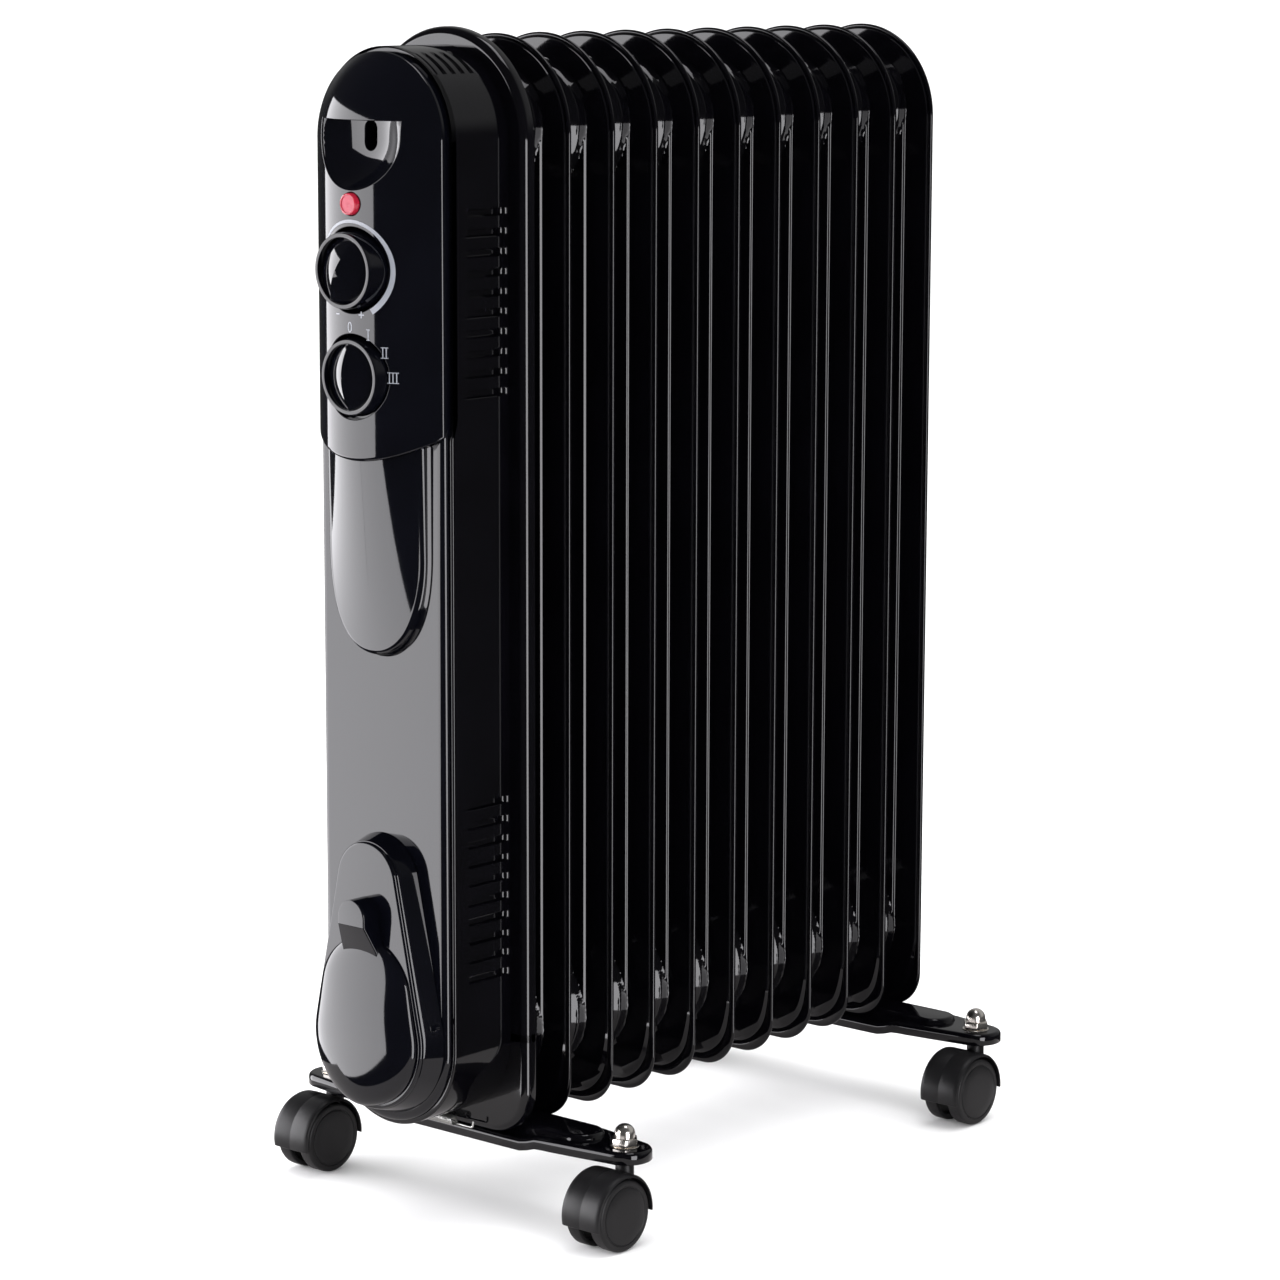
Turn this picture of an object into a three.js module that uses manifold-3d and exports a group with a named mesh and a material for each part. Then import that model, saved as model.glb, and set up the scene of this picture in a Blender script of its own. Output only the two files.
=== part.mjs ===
// Oil filled radiator heater on four twin-wheel casters.
// Millimetres, +Z up, floor at Z = 0. X is the width of the fins, the fins stand in a row
// along Y and the control panel faces -Y. The finished group is centred over the origin.
import * as THREE from 'three';
import { mergeVertices } from 'three/addons/utils/BufferGeometryUtils.js';
import Module from 'manifold-3d';

const wasm = await Module();
wasm.setup();

// ---- driving dimensions -------------------------------------------------------------
const GAP = 0.3;

const FIN_COUNT = 11;
const FIN_PITCH = 34;
const FIN_HALF = 50.85;
const FIN_TOP = 619;
const FIN_BOTTOM = 49;
const FIN_CORNER = 22;
const FIN_SHEET = 0.7;
const CHANNEL_HALF = 33.5;
const CHANNEL_RISE = 6.5;
const CHANNEL_DRAFT = 3.3;
const HEADER_TOP = 571;
const HEADER_LOW = 98;
const HEADER_BASE = 32.5;
const HEADER_TIP = 23;
const HEADER_BORE = 16;
const WALL = 0.9;

const FRONT_HALF = 56.5;
const FRONT_TOP = 623;
const FRONT_BOTTOM = 48.5;
const FRONT_CORNER = 26;
const FRONT_FACE = -41;
const FRONT_REAR = -33;
const FRONT_ROLL = 4.5;

const BOX_HALF = 46;
const BOX_TOP = 614;
const BOX_BOTTOM = 57;
const BOX_SHEET = 1.2;
const BOX_REAR = FRONT_FACE - GAP;
const BOX_FRONT_UPPER = -80.6;
const BOX_FRONT_LOWER = -83.4;
const STEP_Z = 424;
const LOUVER_PITCH = 10.1;
const LOUVER_COUNT = 10;
const LOUVER_LENGTH = 28;
const LOUVER_HEIGHT = 2.4;
const LOUVER_UPPER = 532;
const LOUVER_LOWER = 230;

const PANEL_HALF = 43.6;
const PANEL_TOP = 611.6;
const PANEL_AXIS_Y = -51.5;
const PANEL_RADIUS = 56;
const PANEL_WALL = 2.4;
const PANEL_LIP = 409;
const PANEL_LIP_SIDE = 421;

const FASCIA_HALF = 43.6;
const FASCIA_BOTTOM = 59.4;
const FASCIA_FACE = -87.6;
const FASCIA_REAR = BOX_FRONT_LOWER - GAP;
const FASCIA_WALL = 2;

const KNOB_Z = [503.5, 450];
const KNOB_FACE = [-114.3, -110.3];
const KNOB_SKIRT = 20.6;
const KNOB_TOP = 19.1;
const KNOB_RIDGE = 5.2;
const WELL_FLOOR = -101.5;
const WELL_RADIUS = 21.6;
const LAMP_Z = 536.5;
const LAMP_RADIUS = 5.5;

const WINDER_FACE = -101;
const COVER_FACE = -112.5;

const FOOT_Y = [-19.5, 286.5];
const FOOT_HALF = 120.5;
const FOOT_TOP = 48.5;
const FOOT_FLANGE = 42;
const FOOT_SHEET = 1.6;
const FOOT_BEND = 56;
const FOOT_RISE = 2.8;
const CASTER_X = 105.85;
const CASTER_TRAIL = 13.5;
const WHEEL_RADIUS = 19;
const WHEEL_SPAN = 13;
const WHEEL_FACETS = 18;
const HOOD_RADIUS = 22;
const HOOD_WALL = 1.6;
const STUD_RADIUS = 3.9;

// ---- helpers ------------------------------------------------------------------------
const V2 = (x, y) => new THREE.Vector2(x, y);

// A closed geometry as a solid that can be joined and cut.
function solid(geometry) {
  const bare = geometry.clone();
  bare.deleteAttribute('normal');
  bare.deleteAttribute('uv');
  const merged = mergeVertices(bare, 1e-4);
  const made = new wasm.Manifold(
    new wasm.Mesh({
      numProp: 3,
      vertProperties: new Float32Array(merged.attributes.position.array),
      triVerts: new Uint32Array(merged.index.array),
    }),
  );
  return made;
}

function joined(parts) {
  return parts.reduce((whole, next) => whole.add(next));
}

function geometryOf(made) {
  const mesh = made.getMesh();
  const geometry = new THREE.BufferGeometry();
  geometry.setAttribute('position', new THREE.BufferAttribute(mesh.vertProperties, 3));
  geometry.setIndex(new THREE.BufferAttribute(mesh.triVerts, 1));
  geometry.computeVertexNormals();
  return geometry;
}

// Prisms of a closed 2D outline along each axis. Points are [x, z], [y, z] and [x, y].
function extruded(points, depth) {
  const shape = new THREE.Shape(points);
  return new THREE.ExtrudeGeometry(shape, { depth, bevelEnabled: false, steps: 1 });
}

function prismY(points, y0, y1) {
  const geometry = extruded(points, y1 - y0);
  geometry.rotateX(Math.PI / 2);
  geometry.translate(0, y1, 0);
  return solid(geometry);
}

function prismX(points, x0, x1) {
  const geometry = extruded(points, x1 - x0);
  geometry.applyMatrix4(
    new THREE.Matrix4().set(0, 0, 1, x0, 1, 0, 0, 0, 0, 1, 0, 0, 0, 0, 0, 1),
  );
  return solid(geometry);
}

function prismZ(points, z0, z1) {
  const geometry = extruded(points, z1 - z0);
  geometry.translate(0, 0, z0);
  return solid(geometry);
}

function block(x0, x1, y0, y1, z0, z1) {
  const geometry = new THREE.BoxGeometry(x1 - x0, y1 - y0, z1 - z0);
  geometry.translate((x0 + x1) / 2, (y0 + y1) / 2, (z0 + z1) / 2);
  return solid(geometry);
}

// Round bars along each axis, straight or tapered.
function rodY(r0, r1, y0, y1, x, z, segments = 24) {
  const geometry = new THREE.CylinderGeometry(r1, r0, y1 - y0, segments);
  geometry.translate(x, (y0 + y1) / 2, z);
  return solid(geometry);
}

function rodZ(r0, r1, z0, z1, x, y, segments = 24) {
  const geometry = new THREE.CylinderGeometry(r1, r0, z1 - z0, segments);
  geometry.rotateX(Math.PI / 2);
  geometry.translate(x, y, (z0 + z1) / 2);
  return solid(geometry);
}

function rodX(radius, x0, x1, y, z, segments = 24) {
  const geometry = new THREE.CylinderGeometry(radius, radius, x1 - x0, segments);
  geometry.rotateZ(Math.PI / 2);
  geometry.translate((x0 + x1) / 2, y, z);
  return solid(geometry);
}

// Solid between closed outlines [x, z] of equal length placed at rising Y stations.
function loftY(stations) {
  const count = stations[0].points.length;
  const positions = [];
  const indices = [];
  stations.forEach(({ y, points }) => {
    points.forEach((p) => positions.push(p.x, y, p.y));
  });
  for (let s = 0; s + 1 < stations.length; s += 1) {
    for (let i = 0; i < count; i += 1) {
      const a = s * count + i;
      const b = s * count + ((i + 1) % count);
      indices.push(a, b + count, b, a, a + count, b + count);
    }
  }
  const last = (stations.length - 1) * count;
  THREE.ShapeUtils.triangulateShape(stations[0].points, []).forEach(([a, b, c]) => {
    indices.push(a, b, c);
  });
  THREE.ShapeUtils.triangulateShape(stations.at(-1).points, []).forEach(([a, b, c]) => {
    indices.push(last + a, last + c, last + b);
  });
  const geometry = new THREE.BufferGeometry();
  geometry.setAttribute('position', new THREE.Float32BufferAttribute(positions, 3));
  geometry.setIndex(indices);
  const made = solid(geometry);
  return made;
}

function arc(cx, cz, radius, from, to, segments) {
  const points = [];
  for (let i = 0; i <= segments; i += 1) {
    const a = THREE.MathUtils.degToRad(from + ((to - from) * i) / segments);
    points.push(V2(cx + radius * Math.cos(a), cz + radius * Math.sin(a)));
  }
  return points;
}

// Arch outline: half-round top, rounded bottom corners (a full half-round when they meet).
function arch(half, top, bottom, corner, segTop = 20, segCorner = 5) {
  const points = arc(0, top - half, half, 0, 180, segTop);
  points.push(...arc(corner - half, bottom + corner, corner, 180, 270, segCorner));
  if (half - corner < 0.01) points.pop();
  points.push(...arc(half - corner, bottom + corner, corner, 270, 360, segCorner));
  return points;
}

const nodes = [];
function node(name, made, colour, roughness, metalness) {
  const material = new THREE.MeshStandardMaterial({ color: colour, roughness, metalness });
  const mesh = new THREE.Mesh(geometryOf(made), material);
  mesh.name = name;
  nodes.push(mesh);
}

const BLACK_PAINT = [0x0b0b10, 0.12, 0.1];
const GLOSS_PLASTIC = [0x0a0b12, 0.1, 0];
const MATT_PLASTIC = [0x2a2a2c, 0.6, 0];
const NICKEL = [0xd8d4cc, 0.2, 1];
const ZINC = [0xa8a8a4, 0.35, 1];
const STEEL = [0x9a9a9c, 0.4, 1];
const COPPER = [0xb06a42, 0.35, 1];
const BRASS = [0xb89a4a, 0.35, 1];
const CREAM = [0xd9d4c2, 0.55, 0];

// ---- fins ---------------------------------------------------------------------------
function header(y0, y1, z, base, tip) {
  return y1 > y0 ? rodY(base, tip, y0, y1, 0, z, 16) : rodY(tip, base, y1, y0, 0, z, 16);
}

// Everything pressed out of one face of a fin: side is -1 (front) or 1 (rear).
function pressedFace(y, side, withHeaders) {
  const wing = y + side * FIN_SHEET;
  const crown = y + side * CHANNEL_RISE;
  const parts = [channelOn(y, wing, crown, side)];
  if (withHeaders) {
    const tip = y + side * (FIN_PITCH / 2 - GAP / 2);
    parts.push(header(crown - side * 2, tip, HEADER_TOP, HEADER_BASE, HEADER_TIP));
    parts.push(header(crown - side * 2, tip, HEADER_LOW, HEADER_BASE, HEADER_TIP));
  }
  return joined(parts);
}

// One face of the channel: a long drafted pan from the wing out to its flat crown.
function channelOn(y, from, to, side) {
  const base = CHANNEL_HALF;
  const crown = CHANNEL_HALF - CHANNEL_DRAFT;
  const top = FIN_TOP - FIN_HALF;
  const low = FIN_BOTTOM + FIN_HALF;
  const outline = (r) => arch(r, top + r, low - r, r, 10, 5);
  const ends = [
    { y: from - side * 0.5, points: outline(base) },
    { y: to, points: outline(crown) },
  ];
  return loftY(side > 0 ? ends : ends.reverse());
}

// Oil space of a fin, opened through the header ends that carry on to the next fin.
function oilSpace(y, frontOpen, rearOpen) {
  const reach = FIN_PITCH / 2 + 1;
  const depth = CHANNEL_RISE - WALL;
  const half = CHANNEL_HALF - CHANNEL_DRAFT - WALL;
  const parts = [block(-half, half, y - depth, y + depth, HEADER_LOW, HEADER_TOP)];
  [HEADER_TOP, HEADER_LOW].forEach((z) => {
    const y0 = frontOpen ? y - reach : y - depth;
    const y1 = rearOpen ? y + reach : y + depth;
    parts.push(rodY(HEADER_BORE, HEADER_BORE, y0, y1, 0, z, 12));
  });
  return joined(parts);
}

function fin(index) {
  const y = (index - 2) * FIN_PITCH;
  const last = index === FIN_COUNT;
  const wing = prismY(
    arch(FIN_HALF, FIN_TOP, FIN_BOTTOM, FIN_CORNER, 14, 3),
    y - FIN_SHEET,
    y + FIN_SHEET,
  );
  return joined([wing, pressedFace(y, -1, true), pressedFace(y, 1, !last)]).subtract(
    oilSpace(y, true, !last),
  );
}

// The first fin carries the housing: a wider flat front with a rolled rim.
function frontFin() {
  const y = -FIN_PITCH;
  const rim = (inset) =>
    arch(FRONT_HALF - inset, FRONT_TOP - inset, FRONT_BOTTOM + inset, FRONT_CORNER - inset, 18, 4);
  const body = loftY([
    { y: FRONT_FACE, points: rim(FRONT_ROLL) },
    { y: FRONT_FACE + FRONT_ROLL * 0.3, points: rim(FRONT_ROLL * 0.3) },
    { y: FRONT_FACE + FRONT_ROLL, points: rim(0) },
    { y: FRONT_REAR, points: rim(0) },
  ]);
  const opening = rodY(13, 13, FRONT_FACE - 1, y, 0, HEADER_LOW, 24);
  const filler = rodY(6.3, 6.3, FRONT_FACE - 1, y, 0, HEADER_TOP, 16);
  return joined([body, pressedFace(y, 1, true)])
    .subtract(joined([oilSpace(y, false, true), opening, filler]));
}

node('fin_01', frontFin(), ...BLACK_PAINT);
for (let i = 2; i <= FIN_COUNT; i += 1) {
  node(`fin_${String(i).padStart(2, '0')}`, fin(i), ...BLACK_PAINT);
}

// ---- heating elements and filler plug -------------------------------------------------
const FLANGE_FRONT = FRONT_FACE - 5;
const ELEMENT_RISE = [4.5, -4.5];
const ELEMENT_LEG = 5;
const ELEMENT_RADIUS = 3.2;
const ELEMENT_END = 240;

function elementFlange() {
  const seat = rodY(18, 18, FLANGE_FRONT, FRONT_FACE - GAP, 0, HEADER_LOW, 6);
  const spigot = rodY(12.6, 12.6, FRONT_FACE - GAP - 0.5, FRONT_FACE + 4, 0, HEADER_LOW, 20);
  const holes = ELEMENT_RISE.flatMap((dz) =>
    [-ELEMENT_LEG, ELEMENT_LEG].map((x) =>
      rodY(
        ELEMENT_RADIUS + GAP,
        ELEMENT_RADIUS + GAP,
        FLANGE_FRONT - 1,
        FRONT_FACE + 5,
        x,
        HEADER_LOW + dz,
        12,
      ),
    ),
  );
  return seat.add(spigot).subtract(joined(holes));
}

// A hairpin of sheathed heating rod along the bottom header.
function hairpin(rise, end) {
  const path = new THREE.CurvePath();
  const z = HEADER_LOW + rise;
  const start = FLANGE_FRONT - 8;
  path.add(
    new THREE.LineCurve3(
      new THREE.Vector3(-ELEMENT_LEG, start, z),
      new THREE.Vector3(-ELEMENT_LEG, end, z),
    ),
  );
  path.add(
    new THREE.CubicBezierCurve3(
      new THREE.Vector3(-ELEMENT_LEG, end, z),
      new THREE.Vector3(-ELEMENT_LEG, end + 6.6, z),
      new THREE.Vector3(ELEMENT_LEG, end + 6.6, z),
      new THREE.Vector3(ELEMENT_LEG, end, z),
    ),
  );
  path.add(
    new THREE.LineCurve3(
      new THREE.Vector3(ELEMENT_LEG, end, z),
      new THREE.Vector3(ELEMENT_LEG, start, z),
    ),
  );
  const section = new THREE.Shape(arc(0, 0, ELEMENT_RADIUS, 0, 324, 9));
  return solid(
    new THREE.ExtrudeGeometry(section, { extrudePath: sampled(path), steps: 10, bevelEnabled: false }),
  );
}

// The same path with its samples gathered in the bend, where the rod needs them.
function sampled(path) {
  const [first, bend, last] = path.curves;
  const stops = [first.getPoint(0)];
  for (let i = 0; i <= 8; i += 1) stops.push(bend.getPoint(i / 8));
  stops.push(last.getPoint(1));
  const curve = new THREE.Curve();
  curve.getPoint = (t) => {
    const place = Math.min(t * (stops.length - 1), stops.length - 1 - 1e-9);
    const index = Math.floor(place);
    return stops[index].clone().lerp(stops[index + 1], place - index);
  };
  curve.getPointAt = curve.getPoint;
  const tangentAt = (t) => {
    if (t < 0.05) return new THREE.Vector3(0, 1, 0);
    if (t > 0.95) return new THREE.Vector3(0, -1, 0);
    return bend.getTangent(Math.min(1, Math.max(0, (t * (stops.length - 1) - 1) / 8)));
  };
  curve.getTangent = tangentAt;
  curve.getTangentAt = tangentAt;
  return curve;
}

node('element_flange', elementFlange(), ...BRASS);
node('element_upper', hairpin(ELEMENT_RISE[0], ELEMENT_END), ...STEEL);
node('element_lower', hairpin(ELEMENT_RISE[1], ELEMENT_END - 60), ...STEEL);
node(
  'filler_plug',
  rodY(9, 9, FRONT_FACE - 6, FRONT_FACE - GAP, 0, HEADER_TOP, 6).add(
    rodY(5.9, 5.9, FRONT_FACE - 1, FRONT_FACE + 4, 0, HEADER_TOP, 16),
  ),
  ...STEEL,
);

// ---- side box -----------------------------------------------------------------------
function sideBox() {
  const outer = arch(BOX_HALF, BOX_TOP, BOX_BOTTOM, BOX_HALF, 18, 9);
  const inside = arch(
    BOX_HALF - BOX_SHEET,
    BOX_TOP - BOX_SHEET,
    BOX_BOTTOM + BOX_SHEET,
    BOX_HALF - BOX_SHEET,
    18,
    9,
  );
  const band = prismY(outer, BOX_FRONT_LOWER, BOX_REAR).subtract(
    prismY(inside, BOX_FRONT_LOWER - 1, BOX_REAR + 1),
  );
  // The front edge stands back above the foot of the control panel, along an S.
  const setback = prismX(
    [
      V2(BOX_FRONT_LOWER - 2, STEP_Z - 5),
      V2(BOX_FRONT_LOWER, STEP_Z - 5),
      V2(BOX_FRONT_LOWER + 0.5, STEP_Z - 3),
      V2(BOX_FRONT_UPPER - 0.5, STEP_Z + 3),
      V2(BOX_FRONT_UPPER, STEP_Z + 5),
      V2(BOX_FRONT_UPPER, BOX_TOP + 2),
      V2(BOX_FRONT_LOWER - 2, BOX_TOP + 2),
    ],
    -BOX_HALF - 2,
    BOX_HALF + 2,
  );
  const louverY = (BOX_REAR - 2 + BOX_REAR - 2 - LOUVER_LENGTH) / 2;
  const cuts = [];
  [LOUVER_UPPER, LOUVER_LOWER].forEach((top) => {
    for (let i = 0; i < LOUVER_COUNT; i += 1) {
      const z = top - i * LOUVER_PITCH;
      cuts.push(
        block(
          -BOX_HALF - 2,
          BOX_HALF + 2,
          louverY - LOUVER_LENGTH / 2,
          louverY + LOUVER_LENGTH / 2,
          z - LOUVER_HEIGHT / 2,
          z + LOUVER_HEIGHT / 2,
        ),
      );
    }
  });
  // Four vent slots over the crown and one hole for the heat from the elements below.
  [-72, -65.5, -59, -52.5].forEach((y) => {
    cuts.push(block(-16, 16, y - 1.4, y + 1.4, BOX_TOP - 12, BOX_TOP + 2));
  });
  return band.subtract(setback).subtract(joined(cuts));
}
node('side_box', sideBox(), ...BLACK_PAINT);

// ---- control panel --------------------------------------------------------------------
// Pillow skin: a barrel along Z that closes in a dome at the top.
function pillow(radius, half, top, rear, bottom) {
  const centreZ = top - half;
  const dome = new THREE.SphereGeometry(radius, 24, 12);
  dome.rotateX(Math.PI / 2);
  dome.translate(0, PANEL_AXIS_Y, centreZ);
  const barrel = new THREE.CylinderGeometry(radius, radius, centreZ - bottom, 24);
  barrel.rotateX(Math.PI / 2);
  barrel.translate(0, PANEL_AXIS_Y, (centreZ + bottom) / 2);
  const round = solid(dome).add(solid(barrel));
  const outline = prismY(
    [
      ...arc(0, centreZ, half, 0, 180, 18),
      V2(-half, bottom + 1),
      V2(half, bottom + 1),
    ],
    PANEL_AXIS_Y - radius - 5,
    rear,
  );
  return round.intersect(outline);
}

// Everything below the sagging lower lip of the panel, shifted down by drop.
function belowLip(drop) {
  const points = [V2(-60, 300)];
  points.push(V2(60, 300));
  for (let i = 0; i <= 12; i += 1) {
    const x = 60 - 10 * i;
    const sag = Math.min(1, Math.abs(x) / PANEL_HALF);
    points.push(V2(x, PANEL_LIP + (PANEL_LIP_SIDE - PANEL_LIP) * sag * sag - drop));
  }
  return prismY(points, -130, BOX_FRONT_LOWER + 20);
}

function controlPanel() {
  const rear = BOX_FRONT_UPPER - GAP;
  const skin = pillow(PANEL_RADIUS, PANEL_HALF, PANEL_TOP, rear, 380);
  const room = pillow(
    PANEL_RADIUS - PANEL_WALL,
    PANEL_HALF - PANEL_WALL,
    PANEL_TOP - PANEL_WALL,
    rear + 1,
    370,
  );
  // Finger scoop: a half-round pocket that runs deepest under its straight upper edge.
  const scoopTop = 578;
  const scoopLow = 543.5;
  const floorTop = -91;
  const floorLow = -107;
  const scoopPoints = (grow) => [
    V2(27.2 + grow, scoopTop + grow),
    V2(-27.2 - grow, scoopTop + grow),
    ...Array.from({ length: 11 }, (_, i) => {
      const a = Math.PI + (Math.PI * i) / 10;
      return V2((27.2 + grow) * Math.cos(a), 570 + (570 - scoopLow + grow) * Math.sin(a));
    }),
  ];
  const slope = (offset) =>
    prismX(
      [
        V2(-130, scoopTop + 20),
        V2(-130, scoopLow - 20),
        V2(floorLow - 16 + offset, scoopLow - 35),
        V2(floorLow + offset, scoopLow),
        V2(floorTop + offset, scoopTop),
        V2(floorTop + offset, scoopTop + 20),
      ],
      -50,
      50,
    );
  const scoop = prismY(scoopPoints(0), -125, -85).intersect(slope(0));
  const tray = prismY(scoopPoints(PANEL_WALL), -125, -84).intersect(slope(PANEL_WALL));
  const keyhole = prismY(
    [...arc(0, 573.5, 4.6, 0, 180, 8), ...arc(0, 566.5, 4.6, 180, 360, 8)],
    -125,
    -84,
  );
  const wells = KNOB_Z.map((z) =>
    rodY(WELL_RADIUS, WELL_RADIUS, -125, WELL_FLOOR, 0, z, 20),
  );
  const cups = KNOB_Z.map((z) =>
    rodY(
      WELL_RADIUS + PANEL_WALL,
      WELL_RADIUS + PANEL_WALL,
      -107.4,
      WELL_FLOOR + PANEL_WALL,
      0,
      z,
      20,
    ),
  );
  const shafts = KNOB_Z.map((z) => rodY(4.6, 4.6, -110, -90, 0, z, 16));
  const lampHole = rodY(LAMP_RADIUS + GAP, LAMP_RADIUS + GAP, -125, -95, 0, LAMP_Z, 20);
  const hollow = skin.subtract(room);
  const backed = hollow.add(joined([tray, ...cups]).intersect(skin));
  // The foot of the panel: a thin shelf closes the skin along the sagging lip.
  return backed.subtract(joined([scoop, keyhole, lampHole, ...wells, ...shafts, belowLip(0)]));
}
node('control_panel', controlPanel(), ...GLOSS_PLASTIC);

// ---- lower fascia with its raised tongue ----------------------------------------------
function lowerFascia() {
  const outer = arch(FASCIA_HALF, 560, FASCIA_BOTTOM, FASCIA_HALF, 8, 12);
  const faceOutline = arch(FASCIA_HALF - 2.6, 560, FASCIA_BOTTOM + 2.6, FASCIA_HALF - 2.6, 8, 12);
  const plate = loftY([
    { y: FASCIA_FACE, points: faceOutline },
    { y: FASCIA_FACE + 2, points: outer },
    { y: FASCIA_REAR, points: outer },
  ]);
  const tongue = loftY([
    { y: FASCIA_FACE - 8, points: tongueOutline(22, 322) },
    { y: FASCIA_FACE - 5, points: tongueOutline(32, 311) },
    { y: FASCIA_FACE + 0.5, points: tongueOutline(37, 305) },
  ]);
  const limit = prismY(
    [V2(-60, 0), V2(60, 0), V2(60, 600), V2(-60, 600)],
    -130,
    FASCIA_REAR + 1,
  ).intersect(belowLip(GAP).add(block(-60, 60, -130, -60, 0, 301)));
  const room = block(-FASCIA_HALF + 8, FASCIA_HALF - 8, FASCIA_FACE + FASCIA_WALL, -80, 218, 600);
  return plate.add(tongue).intersect(limit).subtract(room);
}

function tongueOutline(half, bottom) {
  const points = [V2(half, 440), V2(-half, 440)];
  for (let i = 0; i <= 14; i += 1) {
    const a = Math.PI + (Math.PI * i) / 14;
    points.push(V2(half * Math.cos(a), 390 + (390 - bottom) * Math.sin(a)));
  }
  return points;
}
node('lower_fascia', lowerFascia(), ...GLOSS_PLASTIC);

// ---- cord winder ----------------------------------------------------------------------
// Drop-shaped outline: small arc above, large arc below, straight flanks between.
function drop(topZ, topR, lowZ, lowR, segTop = 10, segLow = 16) {
  const lean = THREE.MathUtils.radToDeg(Math.asin((lowR - topR) / (topZ - lowZ)));
  return [
    ...arc(0, topZ, topR, lean, 180 - lean, segTop),
    ...arc(0, lowZ, lowR, 180 - lean, 360 + lean, segLow),
  ];
}

function winderBase() {
  const rear = FASCIA_FACE - GAP;
  const body = loftY([
    { y: WINDER_FACE, points: drop(189, 19, 107, 36) },
    { y: WINDER_FACE + 1, points: drop(189, 20, 107, 37) },
    { y: rear, points: drop(188, 25, 107, 42.5) },
  ]);
  const room = loftY([
    { y: WINDER_FACE + 3, points: drop(189, 17, 107, 34) },
    { y: rear + 1, points: drop(188, 22, 107, 39.5) },
  ]);
  return body.subtract(room);
}

function winderCover() {
  const rear = WINDER_FACE - GAP;
  const pod = loftY([
    { y: COVER_FACE, points: drop(122, 18, 108, 21) },
    { y: COVER_FACE + 1.6, points: drop(124, 23, 108, 26.5) },
    { y: COVER_FACE + 4.6, points: drop(126, 27.5, 108, 31) },
    { y: rear - 2.5, points: drop(129, 31, 107, 35) },
    { y: rear, points: drop(129, 31.4, 107, 35.6) },
  ]);
  const tab = prismY(
    [...arc(0, 172, 9.4, 0, 180, 10), V2(-9.4, 154), V2(9.4, 154)],
    COVER_FACE,
    rear,
  );
  const ramp = prismX(
    [V2(COVER_FACE - 1, 168.5), V2(COVER_FACE - 1, 150), V2(rear - 7, 150), V2(rear - 3, 160.5)],
    -9.5,
    9.5,
  );
  const trimmed = tab.subtract(ramp);
  return pod.add(trimmed);
}
node('winder_base', winderBase(), ...GLOSS_PLASTIC);
node('winder_cover', winderCover(), ...GLOSS_PLASTIC);

// ---- knobs, switches and lamp -----------------------------------------------------------
function knob(index, turn) {
  const z = KNOB_Z[index];
  const face = KNOB_FACE[index];
  const rear = WELL_FLOOR - GAP;
  const cup = rodY(KNOB_TOP, KNOB_SKIRT, face + 1.2, rear, 0, z, 24).add(
    rodY(KNOB_TOP - 1, KNOB_TOP, face, face + 1.3, 0, z, 24),
  );
  // Inside the lip the face falls away on both sides of a ridge with an arched crest.
  const inner = KNOB_TOP - 2.6;
  const floor = face + 3;
  const arch = 26;
  const dish = rodY(inner, inner, face - 1, floor, 0, z, 24);
  const tent = [V2(-inner, floor + 0.2), V2(inner, floor + 0.2), V2(inner, floor - 0.2)];
  tent.push(V2(0, face - KNOB_RIDGE), V2(-inner, floor - 0.2));
  const ridge = prismZ(tent, z - inner, z + inner)
    .intersect(rodX(arch, -inner - 1, inner + 1, face - KNOB_RIDGE + arch, z, 48))
    .intersect(rodY(inner, inner, face - KNOB_RIDGE - 1, floor + 0.2, 0, z, 24));
  const stem = rodY(3.6, 3.6, rear - 0.6, -92, 0, z, 16);
  const made = cup.subtract(dish).add(ridge).add(stem);
  const rotate = new THREE.Matrix4()
    .makeTranslation(0, 0, z)
    .multiply(new THREE.Matrix4().makeRotationY(THREE.MathUtils.degToRad(turn)))
    .multiply(new THREE.Matrix4().makeTranslation(0, 0, -z));
  return made.transform(rotate.elements);
}
node('knob_thermostat', knob(0, 28), ...GLOSS_PLASTIC);
node('knob_switch', knob(1, 0), ...GLOSS_PLASTIC);

function controlBody(z, width, height, rear) {
  const bushing = rodY(6.5, 6.5, -96.5, -93.4, 0, z, 20).add(
    block(-width / 2, width / 2, -94, rear, z - height / 2, z + height / 2),
  );
  return bushing.subtract(rodY(4, 4, -98, -91, 0, z, 16));
}
node('thermostat_body', controlBody(KNOB_Z[0], 30, 26, -74), ...CREAM);
node('switch_body', controlBody(KNOB_Z[1], 32, 24, -72), ...CREAM);

const lens = rodY(LAMP_RADIUS - 0.6, LAMP_RADIUS, -109.9, -109.2, 0, LAMP_Z, 20).add(
  rodY(LAMP_RADIUS, LAMP_RADIUS, -109.3, -103, 0, LAMP_Z, 20),
);
node('lamp_lens', lens, 0xd8203a, 0.2, 0);
node(
  'lamp_holder',
  rodY(4.4, 4.4, -102.6, -94, 0, LAMP_Z, 16).subtract(rodY(2.4, 2.4, -103, -97, 0, LAMP_Z, 12)),
  ...CREAM,
);

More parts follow.
